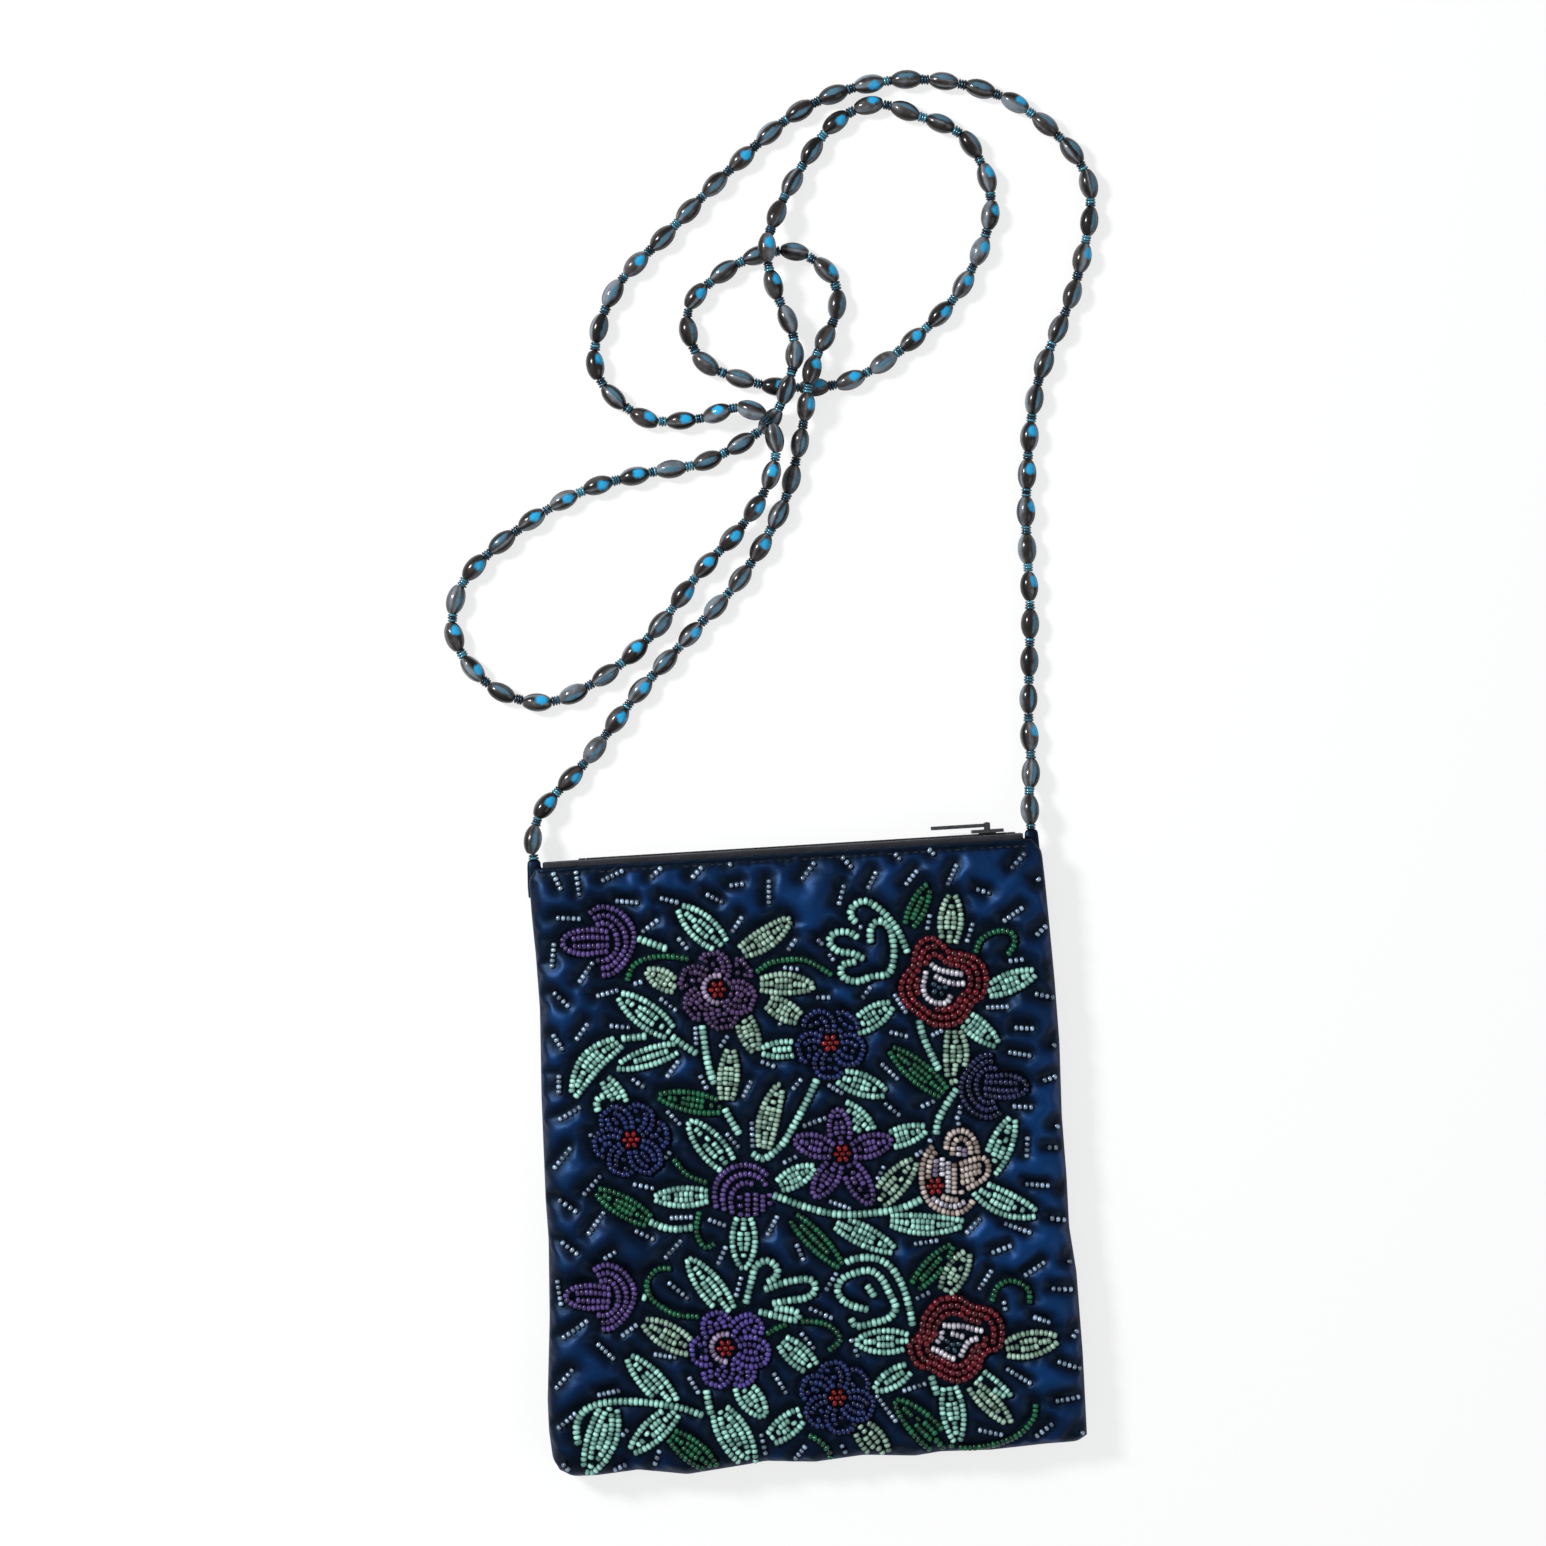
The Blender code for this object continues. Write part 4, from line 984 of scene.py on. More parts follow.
def pixel_row(points, colour, kind="seed"):
    return lay_row(smooth_path([from_photo(*point) for point in points], curve_steps), colour, kind)


def half_widths(shape, shares):
    """How wide a leaf or petal is at shares of its length, as shares of its fullest half width."""
    start, span, power = shape
    return np.array([math.sin(math.pi * (start + span * share)) ** power for share in shares])


def leaf(base, tip, width, colour, bend=0.0, shape=leaf_shape_shares):
    """A leaf between two pixels, filled with rows that follow its rim, the outermost first."""
    base = from_photo(*base)
    tip = from_photo(*tip)
    along = tip - base
    across = np.array((-along[1], along[0])) / np.linalg.norm(along)
    lift = bend * pixel_size
    shares = np.linspace(0, 1, leaf_steps)
    middle = base + along * shares[:, None] + across * (lift * np.sin(math.pi * shares))[:, None]
    half = width * leaf_fullness * pixel_size / 2 - seed_radius
    reach = half * half_widths(shape, shares)
    beads = []
    pitch = 2 * half / max(round(2 * half / row_pitch + row_rounding_share), 1)
    inset = 0.0
    innermost = reach.copy()
    inside = np.ones(leaf_steps, bool)
    while inside.sum() > 2:
        offset = across * (reach - inset)[inside, None]
        loop = np.vstack((middle[inside] + offset, (middle[inside] - offset)[::-1]))
        beads += lay_row(loop, colour)
        innermost[inside] = (reach - inset)[inside]
        inset += pitch
        inside = reach - inset > pitch * least_loop_share
    for stretch in unbroken_stretches(innermost > pitch * least_core_share):
        beads += lay_row(middle[stretch], colour)
    return beads


def unbroken_stretches(chosen):
    """The runs of neighbouring steps that are chosen."""
    steps = np.flatnonzero(chosen)
    runs = np.split(steps, np.flatnonzero(np.diff(steps) > 1) + 1)
    return [run for run in runs if len(run) > least_core_steps]


def turned_row(centre, points, turn, scale, colour, kind="seed"):
    """A row through points given in pixels from a centre, turned about it."""
    angle = math.radians(turn)
    run = []
    for x, y in points:
        across = scale * (x * math.cos(angle) - y * math.sin(angle))
        down = scale * (x * math.sin(angle) + y * math.cos(angle))
        run.append((centre[0] + across, centre[1] + down))
    return pixel_row(run, colour, kind)


def ring(centre, points, turn, scale, colour, kind="seed"):
    """A closed row round a centre."""
    return turned_row(centre, [*points, points[0]], turn, scale, colour, kind)


def bead_cluster(centre, count, colour):
    """A bead in the middle, and the others close round it."""
    centre = from_photo(*centre)
    beads = []
    for number in range(count):
        angle = 2 * math.pi * number / max(count - 1, 1)
        reach = 0.0 if number == count - 1 else cluster_reach
        place = centre + np.array((math.cos(angle), math.sin(angle))) * reach
        step = np.array((-math.sin(angle), math.cos(angle))) * seed_pitch / 2
        beads += lay_row(np.array((place - step, place + step)), colour)
    return beads


def red_flower(centre, rim, silver_rows, eye):
    """Three rows of dark red in lobes, round silver loops and a dark eye."""
    beads = []
    for points in silver_rows:
        beads += pixel_row([(centre[0] + x, centre[1] + y) for x, y in points], "silver")
    beads += bead_cluster((centre[0] + eye[0], centre[1] + eye[1]), red_eye_beads, "ink")
    for scale in red_ring_shares:
        beads += ring(centre, rim, 0, scale, "red", "round")
    patch = (centre[0] + red_patch_pixels[0], centre[1] + red_patch_pixels[1])
    beads += bead_cluster(patch, red_patch_beads, "red")
    return beads


def petal_flower(centre, tips, width, colour, heart=None, shape=petal_shape_shares):
    """Petals filled with rows, round a red eye, out to their tips in pixels from the centre."""
    beads = bead_cluster(centre, eye_beads, "bright_red")
    if heart:
        beads += turned_row(centre, heart_pixels, 0, 1.0, heart)
    for x, y in tips:
        base = (centre[0] + x * petal_base_share, centre[1] + y * petal_base_share)
        beads += leaf(base, (centre[0] + x, centre[1] + y), width, colour, 0.0, shape)
    return beads


# The pale row half round a flower's eye, in pixels from its centre
heart_pixels = [(2, 14), (-7, 11), (-13, 3), (-13, -6), (-6, -13), (4, -14)]


def tulip(centre, turn, colour, size):
    """A flower seen from the side: its main petal, then the rows of its cup."""
    beads = []
    for points in tulip_pixels:
        beads += turned_row(centre, points, turn, size, colour)
    return beads


# A tulip's rows, in pixels from its centre: its main petal, then its cup, the innermost row first
tulip_pixels = [
    [(10, -10), (0, -12), (-14, -12), (-27, -9), (-35, -3), (-34, 5), (-25, 10), (-13, 12), (0, 10),
     (10, 9)],
    [(-27, -3), (-12, -5), (11, -4)], [(-26, 4), (-10, 4), (11, 3)],
    [(-3, -17), (7, -19), (15, -13), (19, 0), (16, 11), (7, 18), (-3, 18)],
    [(-6, -23), (7, -27), (19, -20), (26, -9), (27, 4), (21, 15), (12, 24), (2, 26)],
    [(-10, -28), (2, -35), (17, -32), (27, -24), (34, -13), (35, -1), (31, 11), (24, 22), (14, 31), (3, 33)],
]


def bud():
    """A round bud: rows that arch over its upper left, and upright rows below them."""
    beads = []
    for points in bud_pixels:
        beads += pixel_row(points, "purple")
    return beads


bud_pixels = [
    [(717, 1205), (715, 1190), (719, 1176), (730, 1166), (744, 1162), (758, 1165), (768, 1173)],
    [(725, 1208), (723, 1193), (727, 1181), (737, 1173), (749, 1171), (760, 1175), (767, 1183)],
    [(733, 1211), (731, 1196), (735, 1186), (744, 1180), (754, 1181)], [(741, 1213), (740, 1192)],
    [(748, 1214), (748, 1189)], [(756, 1213), (756, 1189)], [(763, 1209), (763, 1191)],
    [(770, 1202), (770, 1190)],
]


def rose():
    """A cream rose in the photograph's own rows, with a red heart."""
    beads = bead_cluster(rose_eye_pixels, eye_beads, "bright_red")
    for colour, points in rose_pixels:
        beads += pixel_row(points, colour)
    return beads


rose_eye_pixels = (934, 1183)
rose_pixels = [
    ("cream", [(932, 1143), (925, 1152), (921, 1165), (921, 1180), (924, 1192), (931, 1202), (942, 1208),
               (955, 1210), (965, 1206), (972, 1197)]),
    ("silver", [(928, 1190), (934, 1197), (944, 1202), (955, 1203), (964, 1198)]),
    ("cream", [(940, 1193), (948, 1196), (957, 1197)]),
    ("cream", [(935, 1148), (929, 1158), (927, 1176)]), ("lavender", [(935, 1156), (934, 1174)]),
    ("silver", [(941, 1154), (941, 1188)]), ("silver", [(947, 1158), (947, 1190)]),
    ("cream", [(953, 1160), (953, 1191)]), ("cream", [(959, 1186), (961, 1192)]),
    ("cream", [(945, 1147), (946, 1138), (950, 1131), (960, 1128), (969, 1132), (975, 1142), (976, 1151)]),
    ("cream", [(951, 1153), (952, 1143), (957, 1136), (965, 1138), (969, 1145), (969, 1152)]),
    ("silver", [(958, 1143), (957, 1154)]), ("lavender", [(963, 1145), (963, 1154)]),
    ("cream", [(958, 1162), (968, 1158), (981, 1155), (987, 1162), (985, 1173), (976, 1180), (965, 1186)]),
    ("cream", [(959, 1168), (968, 1165), (980, 1162)]), ("cream", [(959, 1174), (969, 1171), (980, 1168)]),
    ("cream", [(959, 1180), (969, 1177), (978, 1174)]),
]

# The lobed rims of the two red flowers and the silver loops inside them, in pixels from their centres
upper_red_rim = [
    (-29, -26), (-23, -39), (-12, -44), (-2, -38), (6, -30), (17, -28), (29, -25), (38, -18), (42, -8),
    (42, 4), (38, 14), (29, 20), (24, 29), (17, 38), (5, 42), (-10, 41), (-23, 32), (-36, 21), (-42, 7),
    (-38, -7), (-30, -16),
]
upper_silver_rows = [
    [(-13, -19), (-5, -13), (8, -10), (20, -8)], [(22, 1), (11, 1), (0, -2), (-9, -7)],
    [(-17, -12), (-18, -5), (-20, 4), (-17, 14), (-8, 20), (3, 20), (8, 12)],
]
lower_red_rim = [
    (-18, -40), (-6, -42), (5, -41), (13, -35), (22, -32), (32, -30), (40, -24), (45, -14), (45, -2),
    (42, 8), (32, 10), (25, 17), (22, 27), (14, 35), (4, 40), (-6, 39), (-16, 34), (-26, 28), (-37, 25),
    (-44, 16),
    (-46, 4), (-39, -2), (-34, -10), (-33, -20), (-27, -30),
]
lower_silver_rows = [
    [(-14, -15), (-4, -14), (6, -14), (17, -11), (27, -9)], [(22, -2), (13, 1), (8, 8), (4, 17)],
    [(-1, 19), (-9, 16), (-17, 11), (-25, 8)], [(-20, 3), (-14, -4), (-15, -10)],
    [(-6, -7), (1, -5), (8, -3)],
]


# Where the flowers lie in the photograph
flower_pixels = {
    "upper_purple_tulip": (600, 941), "lower_purple_tulip": (602, 1294), "thistle": (992, 1083),
    "upper_red_flower": (942, 981), "lower_red_flower": (955, 1336), "purple_star": (842, 1151),
    "purple_rosette": (718, 988), "violet_flower": (726, 1344), "centre_navy_flower": (830, 1041),
    "left_navy_flower": (632, 1137), "lower_navy_flower": (837, 1393),
}

# The tulips' turns in degrees, colours and sizes
tulips = {
    "upper_purple_tulip": (0, "purple", 1.0),
    "lower_purple_tulip": (4, "purple", 0.94),
    "thistle": (184, "thistle", 0.92),
}
upper_red_eye_pixels = (-4, 5)
lower_red_eye_pixels = (-4, 4)

# Petal tips in pixels from a flower's centre, and for the rosette how far each petal reaches and its turn
star_tip_pixels = [(-47, -14), (48, -14), (-5, -44), (-27, 42), (28, 49)]
violet_tip_pixels = [(42, 6), (32, -28), (-13, -34), (-33, 4), (-12, 36), (22, 34)]
rosette_reach_pixels = (37, 38, 36, 37, 36, 37)
rosette_turn = 20
star_petal_width = 25
rosette_petal_width = 35
violet_petal_width = 33

# The navy flowers' petals: how far each reaches in pixels, the flower's turn, and their width
navy_flowers = {
    "centre_navy_flower": ((33, 34, 32, 34, 33), 20, 34),
    "left_navy_flower": ((37, 35, 36, 37, 35, 36), 50, 33),
    "lower_navy_flower": ((36, 34, 35, 36, 35, 34), 20, 33),
}


def petal_tips(reaches, turn):
    """Tips at even turns round a flower, one for each reach in pixels."""
    angles = [math.radians(turn) + 2 * math.pi * number / len(reaches) for number in range(len(reaches))]
    return [(reach * math.cos(angle), reach * math.sin(angle)) for reach, angle in zip(reaches, angles)]


def make_flowers():
    """The beads of each of the frame's flowers, in the order in which they are sewn."""
    flowers = {"purple_bud": bud(), "rose": rose()}
    for name, (turn, colour, size) in tulips.items():
        flowers[name] = tulip(flower_pixels[name], turn, colour, size)
    flowers["upper_red_flower"] = red_flower(
        flower_pixels["upper_red_flower"], upper_red_rim, upper_silver_rows, upper_red_eye_pixels)
    flowers["lower_red_flower"] = red_flower(
        flower_pixels["lower_red_flower"], lower_red_rim, lower_silver_rows, lower_red_eye_pixels)
    flowers["purple_star"] = petal_flower(
        flower_pixels["purple_star"], star_tip_pixels, star_petal_width, "purple", shape=leaf_shape_shares)
    flowers["purple_rosette"] = petal_flower(
        flower_pixels["purple_rosette"], petal_tips(rosette_reach_pixels, rosette_turn),
        rosette_petal_width, "plum", "lavender")
    flowers["violet_flower"] = petal_flower(
        flower_pixels["violet_flower"], violet_tip_pixels, violet_petal_width, "violet", "lavender")
    for name, (reaches, turn, width) in navy_flowers.items():
        flowers[name] = petal_flower(flower_pixels[name], petal_tips(reaches, turn), width, "navy")
    return flowers


# Leaves: colour, base and tip in pixels, width and bend in pixels.
# Those of the first table stand on the frame's own leaves.
leaf_pixels = {
    "mint_leaf_01": ("mint", (723, 945), (681, 907), 28, 0),
    "mint_leaf_02": ("sage", (742, 951), (789, 919), 23, -2),
    "mint_leaf_03": ("mint", (620, 1040), (575, 1093), 24, -8),
    "mint_leaf_04": ("sage", (760, 983), (812, 985), 23, 2),
    "mint_leaf_05": ("sage", (727, 1098), (731, 1047), 22, 0),
    "mint_leaf_06": ("sage", (764, 1146), (780, 1083), 22, 3),
    "mint_leaf_07": ("mint", (986, 990), (1033, 971), 22, 0),
    "mint_leaf_08": ("sage", (948, 942), (951, 894), 25, 0),
    "mint_leaf_09": ("mint", (731, 1166), (691, 1120), 28, 0),
    "mint_leaf_10": ("mint", (709, 1193), (657, 1195), 22, 0),
    "mint_leaf_11": ("mint", (730, 1308), (690, 1257), 26, 0),
    "mint_leaf_12": ("sage", (692, 1345), (645, 1318), 26, 0),
    "mint_leaf_13": ("sage", (1004, 1345), (1055, 1335), 27, 0),
    "mint_leaf_14": ("sage", (970, 1380), (1008, 1418), 20, 0),
    "green_leaf_01": ("green", (722, 1105), (661, 1094), 23, 0),
    "green_leaf_02": ("green", (943, 1091), (890, 1047), 24, 0),
    "green_leaf_03": ("green", (793, 1214), (841, 1263), 21, 0),
    "green_leaf_04": ("green", (672, 1430), (717, 1464), 24, 0),
}
further_leaf_pixels = [
    ("sage", (677, 986), (649, 970), 22, 0), ("mint", (671, 1031), (621, 994), 27, 0),
    ("mint", (678, 1046), (619, 1065), 21, 0), ("mint", (606, 1077), (627, 1104), 18, 0),
    ("sage", (768, 1000), (803, 1019), 22, 0), ("sage", (742, 1012), (756, 1050), 22, 0),
    ("mint", (803, 1046), (761, 1049), 20, 0), ("mint", (958, 1012), (996, 1043), 22, 0),
    ("sage", (953, 1028), (951, 1080), 25, 3), ("mint", (854, 1027), (891, 1003), 24, 0),
    ("mint", (838, 1074), (885, 1091), 24, 0), ("mint", (842, 1103), (873, 1131), 22, 0),
    ("mint", (882, 1140), (925, 1126), 22, 0), ("sage", (874, 1202), (914, 1158), 26, 0),
    ("mint", (988, 1170), (1011, 1116), 25, 0), ("mint", (974, 1184), (1034, 1211), 26, -3),
    ("mint", (889, 1217), (962, 1220), 22, -3), ("mint", (836, 1219), (893, 1247), 23, 0),
    ("mint", (779, 1183), (813, 1165), 22, 0), ("mint", (744, 1214), (744, 1264), 27, 0),
    ("sage", (944, 1288), (966, 1249), 24, 0), ("mint", (908, 1337), (857, 1338), 26, 0),
    ("mint", (908, 1364), (875, 1385), 21, 0), ("mint", (948, 1382), (956, 1436), 25, 0),
    ("mint", (972, 1364), (1010, 1394), 14, 0), ("sage", (858, 1420), (887, 1452), 26, 0),
    ("mint", (771, 1434), (806, 1406), 24, 0), ("mint", (782, 1337), (818, 1369), 24, 0),
    ("mint", (740, 1380), (764, 1411), 25, 0), ("mint", (720, 1406), (752, 1460), 32, 0),
    ("mint", (676, 1406), (633, 1446), 25, 0), ("mint", (674, 1400), (630, 1353), 25, 0),
    ("mint", (611, 1402), (589, 1466), 32, 3), ("green", (908, 925), (927, 885), 20, 0),
    ("green", (650, 1218), (598, 1188), 23, 0), ("green", (914, 1283), (950, 1243), 21, 0),
    ("green", (947, 1446), (896, 1397), 28, 0),
]

# Stems, which stand on the frame's own, and tendrils by their colour: points in pixels
stem_pixels = {
    "rosette_stem": ("mint", [(701, 1013), (705, 1040), (709, 1064), (718, 1090), (728, 1112), (740, 1132)]),
    "centre_stem": ("mint", [(819, 1072), (808, 1096), (793, 1124), (782, 1142), (764, 1156), (752, 1150)]),
    "rose_stem": ("mint", [(768, 1190), (784, 1196), (806, 1204), (836, 1211), (870, 1210), (900, 1205),
                           (921, 1196)]),
    "corner_stem": ("mint", [(704, 1411), (684, 1404), (664, 1400), (636, 1397), (607, 1398), (586, 1406),
                             (578, 1422), (580, 1440)]),
}
tendril_pixels = {
    "mint": [
        [(918, 1018), (922, 1034), (929, 1050), (938, 1068)],
        [(956, 1086), (946, 1101), (937, 1118), (935, 1132)],
        [(706, 1380), (709, 1398), (714, 1420)],
        [(672, 1034), (684, 1043), (698, 1052)],
        [(668, 1034), (650, 1034), (632, 1036), (610, 1038), (592, 1044), (578, 1058), (570, 1076)],
        [(638, 937), (652, 942), (668, 948)],
        [(637, 1293), (648, 1294)],
        [(650, 1218), (664, 1224), (678, 1226), (694, 1224)],
        [(930, 1371), (936, 1390), (942, 1410), (948, 1430)],
    ],
    "green": [
        [(628, 980), (634, 965), (648, 957), (668, 955), (690, 958)],
        [(756, 971), (772, 961), (800, 958), (816, 964), (832, 974)],
        [(974, 952), (980, 938), (996, 930), (1010, 932), (1013, 942), (1006, 954)],
        [(674, 1156), (688, 1172), (708, 1180)],
        [(700, 1208), (697, 1228), (705, 1244), (716, 1240)],
        [(672, 1265), (658, 1266), (648, 1279), (651, 1293), (662, 1303), (678, 1311), (700, 1313)],
        [(990, 1298), (996, 1283), (1010, 1277), (1026, 1285), (1028, 1300)],
        [(948, 1440), (966, 1442), (986, 1440), (1004, 1435), (1020, 1427), (1032, 1413), (1034, 1399)],
        [(762, 1332), (790, 1319), (816, 1318), (832, 1324), (840, 1336), (828, 1347)],
        [(808, 1430), (822, 1438), (830, 1450), (820, 1458)],
    ],
}

# Open curls of mint beads
curl_pixels = [
    [(907, 952), (899, 933), (889, 918), (876, 906), (864, 900), (853, 905), (850, 914), (856, 922)],
    [(858, 937), (848, 931), (834, 932), (829, 941), (838, 950), (852, 952), (864, 958)],
    [(856, 960), (842, 964), (842, 975), (856, 980), (872, 975), (888, 972), (893, 956), (892, 938),
     (887, 924), (877, 920), (870, 928), (870, 942)],
    [(764, 1286), (788, 1278), (810, 1276), (815, 1286), (806, 1294), (786, 1297), (772, 1300)],
    [(774, 1304), (796, 1308), (796, 1316), (780, 1313), (760, 1308), (748, 1308)],
    [(746, 1300), (752, 1276), (756, 1263), (767, 1257), (777, 1264), (776, 1273), (767, 1279)],
    [(842, 1264), (849, 1257), (865, 1254), (881, 1257), (893, 1267), (902, 1283), (908, 1302), (912, 1322)],
    [(868, 1306), (852, 1302), (842, 1296), (837, 1286), (842, 1275), (856, 1269), (870, 1267), (881, 1275),
     (889, 1290), (895, 1304), (888, 1314), (872, 1319), (856, 1322), (850, 1314)],
    [(866, 1281), (874, 1293)],
    [(606, 1093), (614, 1097), (616, 1106), (608, 1112), (599, 1107), (599, 1097), (606, 1093)],
]

# Short rows of small beads scattered over the ground: their two ends in pixels
scatter_pixels = [
    (554, 872, 563, 890), (577, 870, 581, 896), (602, 881, 625, 870), (651, 878, 667, 863),
    (692, 878, 707, 862), (728, 866, 747, 853), (767, 853, 788, 857), (729, 885, 745, 883),
    (769, 878, 769, 904), (706, 893, 724, 902), (660, 897, 680, 902), (616, 900, 640, 902),
    (557, 917, 583, 918), (642, 932, 660, 918), (732, 932, 743, 915), (556, 941, 554, 967),
    (678, 936, 689, 949), (595, 960, 580, 982), (597, 995, 625, 987), (555, 990, 571, 1006),
    (634, 983, 644, 980), (660, 996, 678, 1010), (590, 1021, 577, 1039), (610, 1024, 632, 1026),
    (555, 1032, 565, 1049), (696, 1024, 697, 1044), (729, 1033, 720, 1046), (766, 1008, 782, 1024),
    (618, 1049, 605, 1068), (632, 1076, 646, 1086), (680, 1058, 667, 1076), (700, 1072, 708, 1088),
    (561, 1072, 561, 1092), (752, 1078, 743, 1096), (760, 1059, 776, 1065), (560, 1118, 583, 1104),
    (667, 1108, 682, 1123), (782, 966, 800, 968), (787, 950, 797, 937), (801, 880, 815, 861),
    (837, 852, 852, 868), (838, 905, 844, 883), (867, 889, 876, 870), (887, 846, 900, 860),
    (920, 843, 934, 855), (904, 885, 917, 869), (946, 885, 956, 863), (974, 888, 990, 893),
    (1009, 869, 1024, 852), (1034, 876, 1040, 887), (1001, 921, 1022, 906), (1033, 935, 1047, 921),
    (926, 930, 929, 912), (965, 942, 972, 921), (852, 924, 868, 928), (861, 998, 871, 984),
    (815, 996, 831, 996), (893, 992, 906, 1012), (888, 1030, 908, 1035), (984, 1006, 1008, 1005),
    (1032, 992, 1051, 997), (1006, 960, 1023, 958), (1012, 1026, 1033, 1027), (1006, 1050, 1030, 1054),
    (1049, 1046, 1059, 1033), (1040, 1079, 1058, 1073), (880, 1061, 898, 1078), (827, 1082, 843, 1092),
    (919, 1105, 940, 1096), (883, 1100, 900, 1114), (955, 1118, 962, 1102), (1010, 1104, 1032, 1105),
    (792, 1088, 802, 1076), (1050, 964, 1052, 980), (828, 952, 834, 960), (817, 938, 823, 944),
    (930, 1034, 942, 1028), (591, 1130, 599, 1150), (556, 1167, 573, 1144), (726, 1130, 740, 1146),
    (752, 1118, 753, 1146), (658, 1166, 672, 1148), (584, 1193, 603, 1172), (633, 1181, 656, 1186),
    (560, 1196, 579, 1210), (589, 1232, 606, 1208), (670, 1215, 694, 1214), (635, 1227, 656, 1237),
    (665, 1256, 683, 1236), (563, 1238, 580, 1252), (600, 1259, 618, 1248), (708, 1216, 727, 1223),
    (718, 1262, 727, 1242), (767, 1233, 778, 1212), (796, 1240, 804, 1258), (560, 1276, 564, 1303),
    (736, 1294, 742, 1272), (668, 1278, 690, 1296), (782, 1161, 798, 1153), (802, 1124, 827, 1115),
    (959, 1102, 957, 1124), (1026, 1133, 1025, 1156), (1044, 1145, 1061, 1146), (1052, 1127, 1060, 1118),
    (1023, 1181, 1048, 1183), (1047, 1215, 1063, 1218), (1059, 1190, 1067, 1184),
    (1002, 1220, 1030, 1230), (964, 1231, 980, 1214), (989, 1250, 1011, 1242), (912, 1241, 938, 1237),
    (1022, 1273, 1044, 1258), (977, 1287, 991, 1266), (1049, 1285, 1075, 1287), (1065, 1262, 1069, 1250),
    (924, 1148, 930, 1136), (828, 1198, 851, 1206), (876, 1178, 884, 1162), (825, 1288, 837, 1268),
    (914, 1296, 930, 1288), (910, 1156, 922, 1148), (564, 1335, 590, 1316), (622, 1333, 639, 1320),
    (598, 1339, 616, 1356), (654, 1350, 678, 1354), (558, 1386, 575, 1364), (598, 1391, 622, 1386),
    (689, 1372, 700, 1390), (773, 1368, 787, 1390), (800, 1328, 815, 1346), (560, 1425, 578, 1408),
    (614, 1440, 630, 1424), (565, 1458, 578, 1473), (604, 1470, 628, 1458), (653, 1466, 661, 1444),
    (761, 1428, 766, 1450), (794, 1454, 806, 1440), (678, 1472, 698, 1470), (808, 1304, 833, 1315),
    (1031, 1313, 1049, 1319), (1069, 1335, 1077, 1322), (1055, 1357, 1078, 1366), (1004, 1364, 1030, 1380),
    (1053, 1397, 1077, 1393), (901, 1387, 926, 1379), (875, 1390, 896, 1418), (1033, 1432, 1052, 1418),
    (976, 1425, 1002, 1430), (1069, 1440, 1081, 1427), (900, 1447, 918, 1453), (840, 1438, 849, 1454),
    (850, 1334, 858, 1354), (1002, 1296, 1004, 1308),
]


def make_scatter():
    beads = []
    for x_start, y_start, x_end, y_end in scatter_pixels:
        path = np.array((from_photo(x_start, y_start), from_photo(x_end, y_end)))
        beads += lay_row(path, "blue_steel", "small")
    return beads


def bead_levels(places):
    """The heights of the stitched-down satin under beads, and the way that it faces there."""
    level = panel_level(places)
    slopes = []
    for step in ((slope_reach, 0), (0, slope_reach)):
        slopes.append((panel_level(places + step) - panel_level(places - step)) / (2 * slope_reach))
    facing = np.stack((-slopes[0], -slopes[1], np.ones(len(places))), axis=1)
    facing /= np.linalg.norm(facing, axis=1)[:, None]
    return middle_height + level - stitch_dip, facing


def kept_beads(beads):
    """The beads inside the outline and clear of its rim, sorted by their kind."""
    places = np.array([bead[0] for bead in beads])
    kept = is_inside(places) & (edge_distance(places)[0] > rim_clearance)
    return sorted([bead for bead, keep in zip(beads, kept) if keep], key=lambda bead: bead[3])


def bead_headings(beads, facing):
    """Each bead's heading along its row, a little uneven, and level with the satin under it."""
    runs = np.column_stack((np.array([bead[1] for bead in beads]), np.zeros(len(beads))))
    runs += random.normal(0, heading_spread, runs.shape)
    runs -= facing * (runs * facing).sum(axis=1)[:, None]
    return runs / np.linalg.norm(runs, axis=1)[:, None]


def bead_piece(name, beads, nodes=(), slot=None, lift=0.0):
    """One mesh of beads that ride on the front panel."""
    beads = kept_beads(beads)
    places = np.array([bead[0] for bead in beads])
    levels, facing = bead_levels(places)
    radii = np.array([bead_sizes[bead[3]][0] for bead in beads])
    centres = np.column_stack((places, levels)) + facing * (radii * seat_share + lift)[:, None]
    runs = bead_headings(beads, facing)
    sizes = 1 + random.normal(0, bead_size_spread, len(beads))
    kinds = np.array([bead[3] for bead in beads])
    points = np.empty((0, 3))
    quads = np.empty((0, 4), int)
    for kind in sorted(set(kinds)):
        radius, length, pitch = bead_sizes[kind]
        template = seed_template(radius, length, radius * hole_share, bead_sides)
        chosen = kinds == kind
        made, faces = place_beads(template, centres[chosen], runs[chosen], facing[chosen], sizes[chosen])
        quads = np.vstack((quads, faces + len(points)))
        points = np.vstack((points, made))
    colours = sorted({bead[2] for bead in beads})
    indexes = np.repeat([colours.index(bead[2]) for bead in beads], len(template[1]))
    piece = build_mesh(name, points, quads, [materials[colour] for colour in colours], indexes)
    mark_beads(piece, len(beads), bead_sides, len(template[0]))
    stand_in(piece, "front", slot, *nodes)


